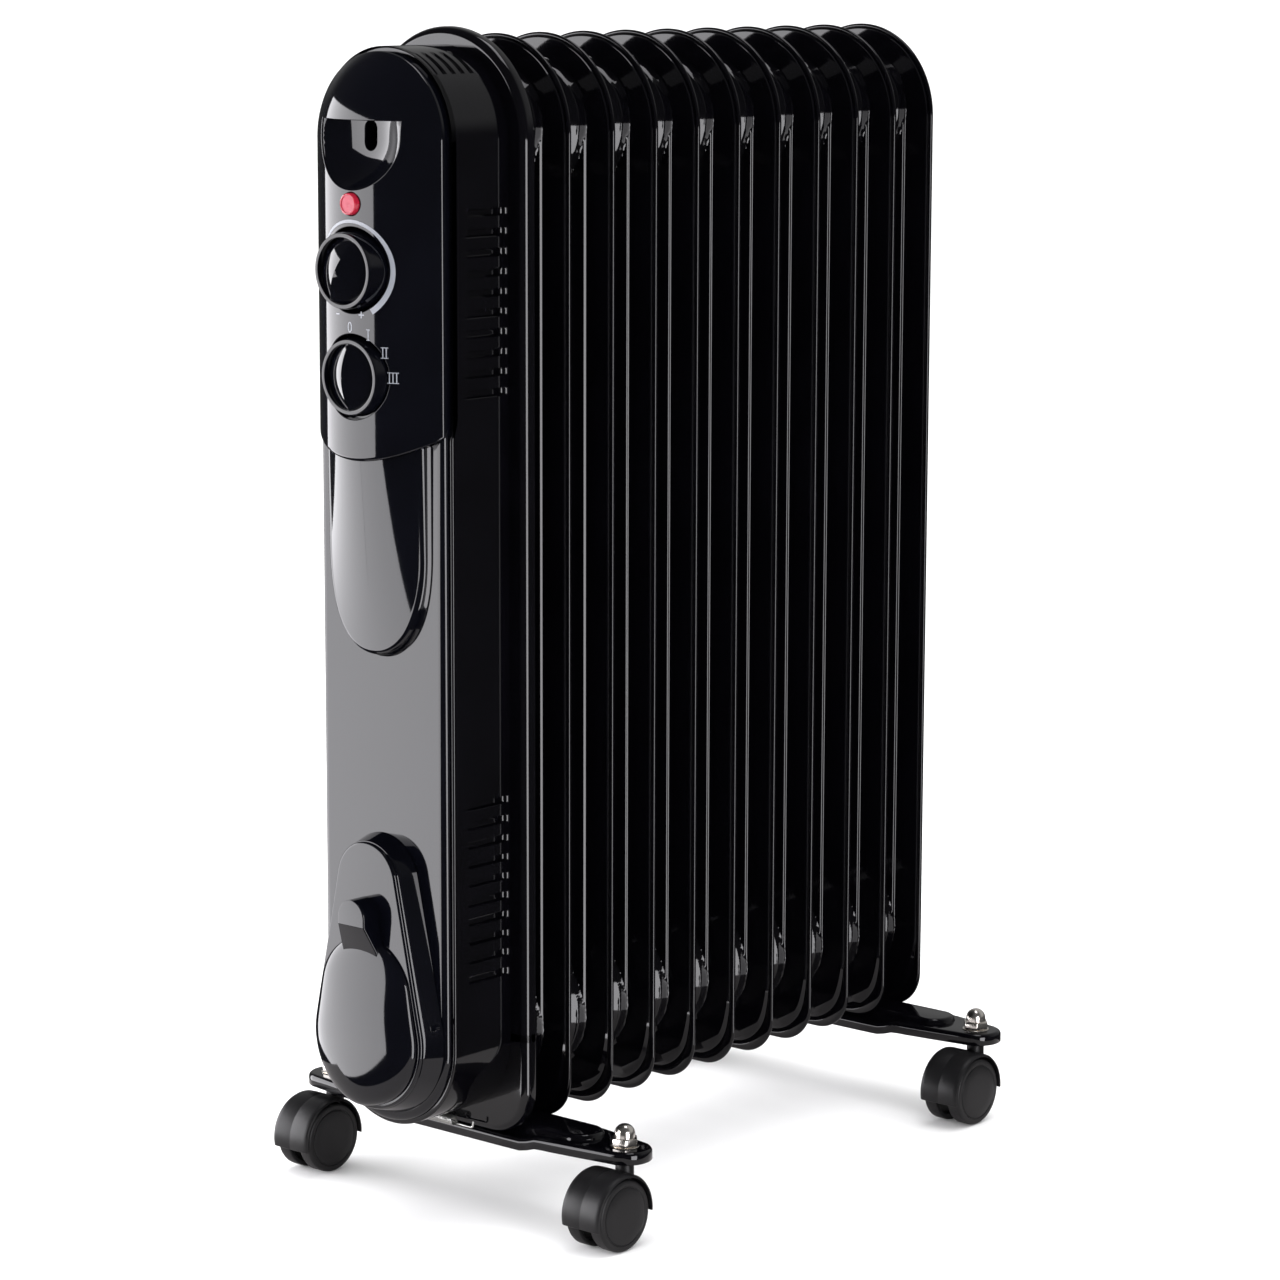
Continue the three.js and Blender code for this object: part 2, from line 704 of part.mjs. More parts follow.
// ---- parts inside the box ---------------------------------------------------------------
// Cross bar screwed inside the box that carries the terminal block and the tip-over switch.
const BAR_Z = 380;
node(
  'carrier_plate',
  block(-36, 36, -60, -58.5, BAR_Z - 60, BAR_Z + 60).add(
    block(-36, 36, -60, -50, BAR_Z - 60, BAR_Z - 58.5),
  ),
  ...ZINC,
);
node(
  'terminal_block',
  joined(
    [-18, -6, 6, 18].map((x) => block(x - 6.01, x + 6.01, -74, -60.3, BAR_Z + 18, BAR_Z + 40)),
  ).subtract(
    joined([-18, -6, 6, 18].map((x) => rodZ(2.2, 2.2, BAR_Z + 16, BAR_Z + 42, x, -67, 10))),
  ),
  ...CREAM,
);
node(
  'tip_over_switch',
  block(-14, 14, -76, -60.3, BAR_Z - 34, BAR_Z - 4).add(
    rodZ(4, 4, BAR_Z - 52, BAR_Z - 33.5, 0, -68, 12),
  ),
  ...MATT_PLASTIC,
);
node(
  'thermal_cutout',
  rodY(9, 9, -47.5, FRONT_FACE - GAP, 0, 300, 20).add(block(-11, 11, -51, -47, 296, 304)),
  ...ZINC,
);

// ---- feet -------------------------------------------------------------------------------
// Tapered bar outline in plan: wide waist, rounded ends.
function footOutline(yc, inset) {
  const end = 13.5 - inset;
  const waist = 20.5 - inset;
  return [
    V2(55, yc - waist),
    ...arc(FOOT_HALF - 13.5, yc, end, -80, 80, 8),
    V2(55, yc + waist),
    V2(-55, yc + waist),
    ...arc(13.5 - FOOT_HALF, yc, end, 100, 260, 8),
    V2(-55, yc - waist),
  ];
}

function platformOutline(yc, inset) {
  const r = 12 - inset;
  return [...arc(76, yc, r, -90, 90, 8), ...arc(-76, yc, r, 90, 270, 8)];
}

// The bar is cranked: past FOOT_BEND on each side it stands FOOT_RISE higher than its middle.
function foot(yc) {
  const top = FOOT_TOP + FOOT_RISE;
  const aboveMiddle = block(-FOOT_BEND, FOOT_BEND, yc - 21, yc + 21, FOOT_TOP, top + 1);
  const belowEnds = [-1, 1].map((side) => {
    const ends = [side * FOOT_BEND, side * (FOOT_HALF + 1)].sort((p, q) => p - q);
    return block(...ends, yc - 21, yc + 21, FOOT_FLANGE - 1, FOOT_FLANGE + FOOT_RISE);
  });
  const bar = prismZ(footOutline(yc, 0), FOOT_FLANGE, top)
    .subtract(joined([aboveMiddle, ...belowEnds]))
    .add(prismZ(platformOutline(yc, 0), FOOT_TOP - 0.5, FOOT_TOP + 6));
  const bend = FOOT_BEND + FOOT_SHEET;
  const underEnds = prismZ(footOutline(yc, FOOT_SHEET), FOOT_TOP - 3, top - FOOT_SHEET).subtract(
    block(-bend, bend, yc - 21, yc + 21, FOOT_TOP - 4, top),
  );
  const under = joined([
    prismZ(footOutline(yc, FOOT_SHEET), FOOT_FLANGE - 1, FOOT_TOP - FOOT_SHEET),
    prismZ(platformOutline(yc, FOOT_SHEET), FOOT_TOP - 3, FOOT_TOP + 6 - FOOT_SHEET),
    underEnds,
  ]);
  const bores = [-CASTER_X, CASTER_X].map((x) =>
    rodZ(STUD_RADIUS + GAP, STUD_RADIUS + GAP, FOOT_FLANGE, top + 1, x, yc, 12),
  );
  return bar.subtract(joined([under, ...bores]));
}
node('foot_front', foot(FOOT_Y[0]), ...BLACK_PAINT);
node('foot_rear', foot(FOOT_Y[1]), ...BLACK_PAINT);

// Tension spring below the box: rippled coil body with a wire hook at each end.
function spring() {
  const y = -46.5;
  const z = 52;
  const profile = [V2(0, -26)];
  for (let i = 0; i < 9; i += 1) {
    profile.push(V2(2.7, -25.6 + i * 4), V2(2, -23.6 + i * 4));
  }
  profile.push(V2(0, 9.6));
  const coil = new THREE.LatheGeometry(profile, 8);
  coil.rotateZ(-Math.PI / 2);
  coil.translate(0, y, z);
  const hookRight = rodX(0.7, 9, 24, y, z - 1.2, 6).add(rodZ(0.7, 0.7, z - 1.8, z + 2.4, 24, y, 6));
  const hookLeft = rodX(0.7, -36, -25.5, y, z, 6);
  return joined([solid(coil), hookRight, hookLeft]);
}
node('cover_spring', spring(), ...ZINC);

// ---- casters ------------------------------------------------------------------------------
function hood(x, y) {
  const wheelY = y - CASTER_TRAIL;
  const fenderOutline = [
    ...arc(wheelY, WHEEL_RADIUS, HOOD_RADIUS, -4, 192, 11),
    ...arc(wheelY, WHEEL_RADIUS, HOOD_RADIUS - HOOD_WALL, 192, -4, 11),
  ];
  const fender = prismX(fenderOutline, x - WHEEL_SPAN, x + WHEEL_SPAN);
  const web = prismX(
    [
      ...arc(wheelY, WHEEL_RADIUS, HOOD_RADIUS - 0.5, 0, 190, 10),
      ...arc(wheelY, WHEEL_RADIUS, 13, 190, 360, 6),
    ],
    x - 3.6,
    x + 3.6,
  );
  const collar = rodZ(4.9, 4.9, 32, FOOT_FLANGE + FOOT_RISE - 0.4, x, y, 12);
  const axleBore = rodX(2 + GAP, x - 5, x + 5, wheelY, WHEEL_RADIUS, 10);
  const stemBore = rodZ(2.7, 2.7, 22, FOOT_FLANGE + FOOT_RISE + 1, x, y, 10);
  const collarTrim = block(x - 6, x - 3.6, y - 6, y + 6, 20, 37.6).add(
    block(x + 3.6, x + 6, y - 6, y + 6, 20, 37.6),
  );
  const kept = collar.subtract(collarTrim);
  return joined([fender, web, kept]).subtract(joined([axleBore, stemBore]));
}

function wheel(x, y, side) {
  const wheelY = y - CASTER_TRAIL;
  const inner = 4.1;
  const profile = [
    V2(2 + GAP, inner),
    V2(5.5, inner),
    V2(5.5, WHEEL_SPAN - 3.6),
    V2(16.2, WHEEL_SPAN - 3.6),
    V2(16.2, inner),
    V2(WHEEL_RADIUS, inner),
    V2(WHEEL_RADIUS, WHEEL_SPAN - 1),
    V2(18, WHEEL_SPAN),
    V2(0, WHEEL_SPAN - 0.4),
    V2(0, WHEEL_SPAN - 2.4),
    V2(2 + GAP, WHEEL_SPAN - 2.4),
  ];
  const geometry = new THREE.LatheGeometry([...profile, profile[0]], WHEEL_FACETS);
  geometry.rotateZ(-Math.PI / 2);
  if (side < 0) geometry.rotateZ(Math.PI);
  geometry.rotateX(Math.PI / WHEEL_FACETS);
  geometry.translate(x, wheelY, WHEEL_RADIUS);
  const made = solid(geometry);
  return made;
}

function stud(x, y) {
  const seat = FOOT_FLANGE + FOOT_RISE;
  return joined([
    rodZ(2.4, 2.4, 24, seat + 1.5, x, y, 10),
    rodZ(6, 6, seat, seat + 3.6, x, y, 6),
    rodZ(STUD_RADIUS, STUD_RADIUS, seat + 3, FOOT_TOP + 8, x, y, 12),
  ]);
}

function acornNut(x, y) {
  const z = FOOT_TOP + FOOT_RISE + GAP;
  const hex = rodZ(7.2, 7.2, z, z + 4.6, x, y, 6).intersect(rodZ(7.6, 6.9, z - 0.1, z + 4.7, x, y, 12));
  const dome = new THREE.LatheGeometry(
    [
      V2(0, z + 4),
      V2(5.5, z + 4),
      V2(5.5, z + 6.3),
      V2(4.5, z + 9.5),
      V2(2.4, z + 11.3),
      V2(0, z + 11.8),
    ],
    12,
  );
  dome.rotateX(Math.PI / 2);
  dome.translate(x, y, 0);
  const bore = rodZ(STUD_RADIUS + GAP, STUD_RADIUS + GAP, z - 1, FOOT_TOP + 8.6, x, y, 10);
  return hex.add(solid(dome)).subtract(bore);
}

const CORNERS = [
  ['front_left', -1, 0],
  ['front_right', 1, 0],
  ['rear_left', -1, 1],
  ['rear_right', 1, 1],
];
CORNERS.forEach(([place, side, row]) => {
  const x = side * CASTER_X;
  const y = FOOT_Y[row];
  const wheelY = y - CASTER_TRAIL;
  node(`stud_${place}`, stud(x, y), ...ZINC);
  node(`nut_${place}`, acornNut(x, y), ...NICKEL);
  node(`hood_${place}`, hood(x, y), ...MATT_PLASTIC);
  node(`axle_${place}`, rodX(2, x - 9.5, x + 9.5, wheelY, WHEEL_RADIUS, 10), ...STEEL);
  node(`wheel_${place}_outer`, wheel(x, y, side), ...MATT_PLASTIC);
  node(`wheel_${place}_inner`, wheel(x, y, -side), ...MATT_PLASTIC);
});

// ---- assembly ---------------------------------------------------------------------------
const group = new THREE.Group();
nodes.forEach((mesh) => group.add(mesh));
const bounds = new THREE.Box3().setFromObject(group, true);
const centre = bounds.getCenter(new THREE.Vector3());
nodes.forEach((mesh) => mesh.position.set(-centre.x, -centre.y, -bounds.min.z));

export default group;
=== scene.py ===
import math

import bmesh
import bpy
import numpy as np
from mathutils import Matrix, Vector
from mathutils.geometry import delaunay_2d_cdt


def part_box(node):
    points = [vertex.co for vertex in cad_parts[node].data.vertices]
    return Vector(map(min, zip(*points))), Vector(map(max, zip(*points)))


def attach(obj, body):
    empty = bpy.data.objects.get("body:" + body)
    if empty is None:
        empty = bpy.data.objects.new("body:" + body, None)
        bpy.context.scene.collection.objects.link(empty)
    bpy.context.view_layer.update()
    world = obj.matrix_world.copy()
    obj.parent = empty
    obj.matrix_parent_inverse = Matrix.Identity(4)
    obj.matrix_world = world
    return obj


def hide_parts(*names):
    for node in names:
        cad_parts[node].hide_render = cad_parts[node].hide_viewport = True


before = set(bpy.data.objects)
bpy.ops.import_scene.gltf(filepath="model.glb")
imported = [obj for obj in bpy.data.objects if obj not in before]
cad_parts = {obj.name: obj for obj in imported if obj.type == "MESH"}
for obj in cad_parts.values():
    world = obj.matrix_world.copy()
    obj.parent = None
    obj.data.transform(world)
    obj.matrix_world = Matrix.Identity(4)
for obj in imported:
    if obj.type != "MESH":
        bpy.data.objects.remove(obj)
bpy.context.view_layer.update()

# ---- the working frame: millimetres, the second fin at Y = 0 and the floor of a round wheel at Z = 0 ----
FIN_LOW, FIN_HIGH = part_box("fin_02")
FIN_TOP = 619.0
SHIFT = np.array([0.0, (FIN_LOW.y + FIN_HIGH.y) * 500, FIN_HIGH.z * 1000 - FIN_TOP])


def node_box(name):
    """A CAD node's corners in the working frame."""
    low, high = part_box(name)
    return np.array(low) * 1000 - SHIFT, np.array(high) * 1000 - SHIFT


def place(point):
    """A working point as a point of the row frame, in metres."""
    return Vector((np.asarray(point, float) + SHIFT) / 1000)


# ---- shapes ----
def smooth(t):
    t = np.clip(t, 0, 1)
    return t * t * (3 - 2 * t)


def ramp(t, r=0.25):
    """A straight ramp from 0 to 1 with rounded ends."""
    t = np.clip(t, 0, 1)
    m = 1 / (1 - r)
    low = m * t * t / (2 * r)
    high = 1 - m * (1 - t) ** 2 / (2 * r)
    return np.where(t < r, low, np.where(t > 1 - r, high, m * (t - r / 2)))


def arc(cx, cz, radius, start, stop, count):
    a = np.radians(np.linspace(start, stop, count))
    return np.stack([cx + radius * np.cos(a), cz + radius * np.sin(a)], 1)


def resample(path, count):
    """A polyline resampled to evenly spaced points."""
    path = np.asarray(path, float)
    steps = np.hypot(*np.diff(path, axis=0).T)
    along = np.concatenate([[0], np.cumsum(steps)])
    at = np.linspace(0, along[-1], count)
    return np.stack([np.interp(at, along, path[:, i]) for i in range(2)], 1)


def grid_faces(rows, columns, closed=False, first=0):
    faces = []
    span = columns if closed else columns - 1
    for i in range(rows - 1):
        for j in range(span):
            a = first + i * columns + j
            b = first + i * columns + (j + 1) % columns
            faces.append((a, b, b + columns, a + columns))
    return faces


def loft(rings, start=True, end=True):
    """Closed rings joined one to the next, with flat ends."""
    rings = [np.asarray(r, float) for r in rings]
    count = len(rings[0])
    faces = grid_faces(len(rings), count, closed=True)
    if start:
        faces.append(tuple(range(count))[::-1])
    if end:
        faces.append(tuple(range((len(rings) - 1) * count, len(rings) * count)))
    return np.concatenate(rings), faces


def join(*parts):
    points, faces, base = [], [], 0
    for p, f in parts:
        points.append(np.asarray(p, float))
        faces += [tuple(i + base for i in face) for face in f]
        base += len(p)
    return np.concatenate(points), faces


def mirrored(half):
    """An open half outline from top centre to bottom centre as a closed ring."""
    half = np.asarray(half, float)
    other = half[::-1][1:-1] * np.array([-1, 1])
    return np.concatenate([half, other])


def at_y(outline, y):
    """A 2D [x, z] outline as 3D points; y may be one number or one for each point."""
    outline = np.asarray(outline, float)
    return np.stack([outline[:, 0], np.broadcast_to(y, len(outline)), outline[:, 1]], 1)


def at_z(outline, z):
    outline = np.asarray(outline, float)
    return np.stack([outline[:, 0], outline[:, 1], np.broadcast_to(z, len(outline))], 1)


def lathe(profile, count, axis, centre):
    """A profile of [radius, height] turned about an axis through centre."""
    a = np.linspace(0, 2 * np.pi, count, endpoint=False)
    rings = []
    for radius, height in profile:
        u, v, w = radius * np.cos(a), radius * np.sin(a), np.full(count, height)
        ring = {"x": (w, u, v), "y": (u, w, v), "z": (u, v, w)}[axis]
        rings.append(np.stack(ring, 1) + np.asarray(centre, float))
    return loft(rings)


def build(name, shape, material, body="base", replaces=(), sharp=32.0, exact=None):
    """Makes one piece from working points and faces; edges sharper than the limit stay crisp."""
    points, faces = shape
    mesh = bpy.data.meshes.new(name)
    mesh.from_pydata(((np.asarray(points) + SHIFT) / 1000).tolist(), [], faces)
    bm = bmesh.new()
    bm.from_mesh(mesh)
    if exact is None:
        bmesh.ops.remove_doubles(bm, verts=bm.verts, dist=2e-6)
        bmesh.ops.recalc_face_normals(bm, faces=bm.faces)
    limit = math.radians(sharp)
    for e in bm.edges:
        e.smooth = len(e.link_faces) == 2 and e.calc_face_angle(0) < limit
    for f in bm.faces:
        f.smooth = True
    bm.to_mesh(mesh)
    bm.free()
    if exact is not None:
        mesh.normals_split_custom_set_from_vertices(exact)
    mesh.materials.append(material)
    piece = bpy.data.objects.new(name, mesh)
    bpy.context.scene.collection.objects.link(piece)
    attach(piece, body)
    if replaces:
        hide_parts(*replaces)
    return piece


# ---- materials ----
def surface(
    name, colour, low, high, scale, bump, bump_scale, metallic=0.0, specular=0.5, roughness=(0.3, 0.4), **more
):
    """A shader whose colour and roughness wander between two values, with a fine bump."""
    material = bpy.data.materials.new(name)
    material.use_nodes = True
    tree = material.node_tree
    shader = tree.nodes["Principled BSDF"]
    shader.inputs["Metallic"].default_value = metallic
    shader.inputs["Specular IOR Level"].default_value = specular
    for key, value in more.items():
        shader.inputs[key.replace("_", " ")].default_value = value
    where = tree.nodes.new("ShaderNodeTexCoord")

    def noise(fineness, detail):
        node = tree.nodes.new("ShaderNodeTexNoise")
        node.inputs["Scale"].default_value = fineness
        node.inputs["Detail"].default_value = detail
        tree.links.new(where.outputs["Object"], node.inputs["Vector"])
        return node.outputs["Fac"]

    wander = noise(scale, 5.0)
    tint = tree.nodes.new("ShaderNodeValToRGB")
    for stop, position, share in zip(tint.color_ramp.elements, (0.3, 0.7), (low, high)):
        stop.position = position
        stop.color = (*[c * share for c in colour], 1)
    tree.links.new(wander, tint.inputs["Fac"])
    tree.links.new(tint.outputs["Color"], shader.inputs["Base Color"])
    rough = tree.nodes.new("ShaderNodeMapRange")
    rough.inputs["To Min"].default_value = roughness[0]
    rough.inputs["To Max"].default_value = roughness[1]
    tree.links.new(wander, rough.inputs["Value"])
    tree.links.new(rough.outputs["Result"], shader.inputs["Roughness"])
    relief = tree.nodes.new("ShaderNodeBump")
    relief.inputs["Strength"].default_value = bump
    relief.inputs["Distance"].default_value = 0.0002
    tree.links.new(noise(bump_scale, 3.0), relief.inputs["Height"])
    tree.links.new(relief.outputs["Normal"], shader.inputs["Normal"])
    return material


PAINT = surface(
    "black_enamel", (0.0011, 0.0010, 0.0016), 0.8, 1.3, 30, 0.03, 420, specular=0.42, roughness=(0.05, 0.09)
)
GLOSS_BLACK = (0.0012, 0.0013, 0.0024)
PLASTIC = surface(
    "black_moulding", GLOSS_BLACK, 0.8, 1.3, 25, 0.015, 300, specular=0.42, roughness=(0.045, 0.075)
)
NYLON = surface(
    "black_nylon", (0.0062, 0.0060, 0.0066), 0.75, 1.25, 60, 0.35, 2600, specular=0.3, roughness=(0.34, 0.42)
)
NICKEL = surface(
    "nickel_plate", (0.86, 0.82, 0.77), 0.9, 1.05, 80, 0.02, 900, metallic=1.0, roughness=(0.17, 0.26)
)
ZINC = surface(
    "zinc_plate", (0.55, 0.55, 0.53), 0.8, 1.1, 140, 0.08, 1500, metallic=1.0, roughness=(0.24, 0.36)
)
STEEL = surface(
    "drawn_steel", (0.42, 0.42, 0.43), 0.8, 1.1, 120, 0.1, 1500, metallic=1.0, roughness=(0.3, 0.42)
)
BRASS = surface(
    "turned_brass", (0.58, 0.42, 0.16), 0.85, 1.1, 120, 0.08, 1500, metallic=1.0, roughness=(0.22, 0.32)
)
RESIN = surface("cream_resin", (0.62, 0.57, 0.45), 0.85, 1.1, 90, 0.12, 1400, roughness=(0.42, 0.56))
PRINT = surface("white_print", (0.21, 0.22, 0.25), 0.94, 1.04, 200, 0.05, 2500, roughness=(0.35, 0.45))
LENS = surface(
    "red_lens",
    (0.35, 0.012, 0.03),
    0.85,
    1.15,
    400,
    0.15,
    1800,
    roughness=(0.08, 0.16),
    Transmission_Weight=0.25,
    Emission_Color=(0.9, 0.05, 0.12, 1),
    Emission_Strength=0.05,
)
LENS_FACE = surface(
    "red_lens_face", (0.46, 0.10, 0.14), 0.85, 1.15, 400, 0.15, 1800, specular=0.6, roughness=(0.16, 0.26)
)
FLOOR = surface(
    "pale_floor", (0.93, 0.93, 0.93), 0.99, 1.0, 3, 0.02, 60, specular=0.1, roughness=(0.8, 0.9)
)
TABLE = surface(
    "table_top", (0.48, 0.46, 0.46), 0.99, 1.0, 3, 0.02, 60, specular=0.1, roughness=(0.8, 0.9)
)

# ---- fins: a rolled rim, two pressed steps, the oil channel and the header bosses ----
FIN_HALF = (FIN_HIGH.x - FIN_LOW.x) * 500
FIN_BOTTOM = FIN_LOW.z * 1000 - SHIFT[2]
FIN_PITCH = (node_box("fin_03")[0] - node_box("fin_02")[0])[1]
HEADER_TOP, HEADER_LOW = 571.0, 98.0
CROWN = 3.7
SIDE_Z = np.concatenate([
    np.arange(566.5, 534, -1.5),
    [530, 522, 505, 470, 420, 360, 300, 240, 190, 160, 147, 140],
    np.arange(135.5, 100.5, -1.5),
])


def arch_half(s, half, top, low, corner, side_z, full=None):
    """Half an arch outline inset by s: a round top, a straight side and a rounded foot that
    turns into a full half-round once the inset passes full."""
    h = half - s
    centre = low + half
    crest = arc(0, top - half, h, 90, 0, 41)
    side = np.stack([np.full(len(side_z), h), side_z], 1)
    r = max(corner - s, 0.4)
    foot = np.concatenate([
        [[h, centre]],
        arc(h - r, low + s + r, r, 0, -90, 24),
        [[0, low + s]],
    ])
    foot = resample(foot, 44)
    if full is not None:
        share = float(smooth(s / full))
        foot = foot * (1 - share) + arc(0, centre, h, 0, -90, 44) * share
    return np.concatenate([crest, side, foot])


def fin_depth(x, z, s, headers):
    """How far a fin's pressed face stands off its middle plane."""
    depth = 0.7 + 0.75 * ramp((s - 5.0) / 2.6) + 0.75 * ramp((s - 10.2) / 2.6)
    off = np.hypot(x, z - np.clip(z, HEADER_LOW, HEADER_TOP))
    depth = depth + (CROWN - depth) * ramp((33.5 - off) / 0.9, 0.15)
    if headers:
        for centre in (HEADER_TOP, HEADER_LOW):
            r = np.hypot(x, z - centre)
            boss = 2.2 + 5.5 * ramp((34 - r) / 2.2, 0.3) + 1.48 * np.maximum(31.8 - r, 0)
            depth = np.maximum(depth, np.minimum(boss, FIN_PITCH / 2))
    return depth


def fin_face(y, side, headers):
    """One pressed face of a fin with its half of the rolled rim; side is -1 for the front."""
    rim = [(1.25 * (1 - math.cos(a)), 1.25 * math.sin(a)) for a in np.radians(np.linspace(0, 148, 12))]
    insets = [s for s, _ in rim]
    insets += [2.9, 3.8, *np.arange(5.0, 7.7, 0.26), 9.0, *np.arange(10.2, 12.9, 0.26), 14.5, 16.2]
    insets += [16.6, 16.85, *np.arange(17.1, 19.3, 0.2), *np.arange(19.6, 25.3, 0.5), 25.4, 26, 28]
    insets += [31.5, 34, 37, 40.5, 44.5, 48, FIN_HALF - 0.01]
    rings = []
    for i, s in enumerate(insets):
        half = arch_half(s, FIN_HALF, FIN_TOP, FIN_BOTTOM, 22, SIDE_Z, full=5)
        if i < len(rim):
            depth = np.full(len(half), rim[i][1])
        else:
            depth = fin_depth(half[:, 0], half[:, 1], s, headers)
        ring = mirrored(half)
        both = np.concatenate([depth, depth[::-1][1:-1]])
        rings.append(at_y(ring, y + side * both))
    return loft(rings, start=False, end=False)


def fin(y, front=True, rear=True):
    """A whole fin; the flags say which faces carry header bosses."""
    return join(fin_face(y, -1, front), fin_face(y, 1, rear))


plain = build("fin_02_pressing", fin(0), PAINT, replaces=["fin_02"])
for number in range(3, 11):
    copy = bpy.data.objects.new(f"fin_{number:02d}_pressing", plain.data)
    bpy.context.scene.collection.objects.link(copy)
    copy.location.y = (number - 2) * FIN_PITCH / 1000
    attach(copy, "base")
    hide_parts(f"fin_{number:02d}")
build("fin_11_pressing", fin(9 * FIN_PITCH, rear=False), PAINT, replaces=["fin_11"])


def front_fin():
    """The first fin: a deep tray with a rolled rim in front and a pressed face behind."""
    low, high = node_box("fin_01")
    half, face = high[0], low[1]
    roll = 4.5
    path = [(13.0, face)]
    for a in np.radians(np.linspace(90, 0, 15)):
        path.append((roll - roll * math.cos(a), face + roll - roll * math.sin(a)))
    path += [(0, -34.2), (0.12, -33.4), (0.5, -33.0), (0.95, -33.2), (1.1, -33.9), (1.1, -36.3)]
    for a in np.radians(np.linspace(0, 90, 8)):
        path.append((roll - 3.4 * math.cos(a), face + roll - 3.4 * math.sin(a)))
    path.append((9.0, face + 1.1))
    rings = [at_y(mirrored(arch_half(s, half, high[2], low[2], 26, SIDE_Z)), y) for s, y in path]
    return join(loft(rings, start=True, end=True), fin_face(-FIN_PITCH, 1, True))


build("fin_01_tray", front_fin(), PAINT, replaces=["fin_01"])

# ---- side box with its dented louvers and top vents ----
BOX_LOW, BOX_HIGH = node_box("side_box")
BOX_HALF, BOX_TOP, BOX_BOTTOM = BOX_HIGH[0], BOX_HIGH[2], BOX_LOW[2]
BOX_REAR, BOX_FRONT = BOX_HIGH[1], BOX_LOW[1]
BOX_STEP = 2.8
LOUVERS = [top - 10.1 * i for top in (532, 230) for i in range(10)]
VENTS = (-79.5, -73, -66.5, -60, -53.5)
VENT_SPAN, VENT_HALF, VENT_DEPTH = (46, 66), 1.5, 2.4
LOUVER_REAR, LOUVER_LENGTH, LOUVER_DEPTH = 1.35, 30.0, 2.25


def box_front(z):
    """The front edge stands back above the foot of the control panel, along an S."""
    return BOX_FRONT + BOX_STEP * smooth((z - 418.5) / 11)


def box_dent(x, y, z):
    """How far the sheet is pressed in by the louvers and the top vents."""
    dent = np.zeros_like(x)
    side = np.abs(x) > BOX_HALF - 0.6
    inset = BOX_REAR - LOUVER_REAR - y
    rear = np.interp(inset, [0, 1.2, 1.6, 2.8], [0, 0.78, 1.47, LOUVER_DEPTH])
    front = LOUVER_DEPTH * ramp((LOUVER_LENGTH - inset) / 1.6)
    for centre in LOUVERS:
        level = LOUVER_DEPTH * ramp((2.0 - np.abs(z - centre)) / 0.7)
        pocket = np.minimum(np.minimum(rear, front), level)
        dent = np.maximum(dent, np.where(side, pocket, 0))
    lean = np.degrees(np.arctan2(z - (BOX_TOP - BOX_HALF), np.abs(x) + 1e-9))
    for centre in VENTS:
        along = np.minimum(lean - VENT_SPAN[0], VENT_SPAN[1] - lean) * math.radians(BOX_HALF)
        slot = np.minimum(ramp(along / 1.2), ramp((VENT_HALF - np.abs(y - centre)) / 0.8))
        dent = np.maximum(dent, np.where(z > BOX_TOP - 20, VENT_DEPTH * slot, 0))
    return dent


def side_box():
    """The folded sheet, row by row from the rear edge to the front lip."""
    z = np.concatenate([
        np.arange(566, 537, -4.0),
        np.arange(536.0, 437.5, -0.4),
        np.arange(436, 431, -2.0),
        np.arange(430.5, 417.5, -0.7),
        np.arange(414, 236, -14.0),
        np.arange(234.5, 135.5, -0.4),
        np.arange(134, 103.5, -6.0),
    ])
    rows = np.concatenate([
        [BOX_REAR],
        BOX_REAR - np.array([0.8, 1.35, 1.95, 2.55, 2.75, 2.95, 3.55, 4.15, 5, 8, 11]),
        np.concatenate([centre + np.array([1.6, 1.1, 0.7, 0, -0.7, -1.1, -1.6]) for centre in VENTS[::-1]]),
        [-82.5],
    ])
    half = arch_half(0, BOX_HALF, BOX_TOP, BOX_BOTTOM, BOX_HALF, z)
    ring = mirrored(half)
    middle = np.clip(ring[:, 1], BOX_BOTTOM + BOX_HALF, BOX_TOP - BOX_HALF)
    inward = np.stack([-ring[:, 0], middle - ring[:, 1]], 1)
    inward /= np.hypot(inward[:, 0], inward[:, 1])[:, None] + 1e-9
    inward[(ring[:, 1] < BOX_TOP - BOX_HALF) & (ring[:, 1] > BOX_BOTTOM + BOX_HALF)] *= [1, 0]
    straight = (ring[:, 1] <= BOX_TOP - BOX_HALF) & (ring[:, 1] >= BOX_BOTTOM + BOX_HALF)
    inward[straight] = np.stack([-np.sign(ring[straight, 0]), np.zeros(straight.sum())], 1)
    louver_end = BOX_REAR - LOUVER_REAR - LOUVER_LENGTH + np.array([1.6, 1.2, 0.8, 0.4, 0, -0.5])
    rows = np.unique(np.concatenate([rows, louver_end]))[::-1]
    rings = []
    front = box_front(ring[:, 1])
    for y in rows:
        yy = np.full(len(ring), y)
        push = box_dent(ring[:, 0], yy, ring[:, 1])
        rings.append(at_y(ring + inward * push[:, None], yy))
    for a in np.radians(np.linspace(0, 90, 9)):
        rings.append(at_y(ring + inward * 1.3 * (1 - math.cos(a)), front + 1.3 - 1.3 * math.sin(a)))
    rings.append(at_y(ring + inward * 3.5, front))
    rings.append(at_y(ring + inward * 3.5, front + 1.2))
    rings.append(at_y(ring + inward * 3.4, np.full(len(ring), BOX_REAR)))
    return loft(rings, start=False, end=False)


build("side_box_sheet", side_box(), PAINT, replaces=["side_box"], sharp=40)

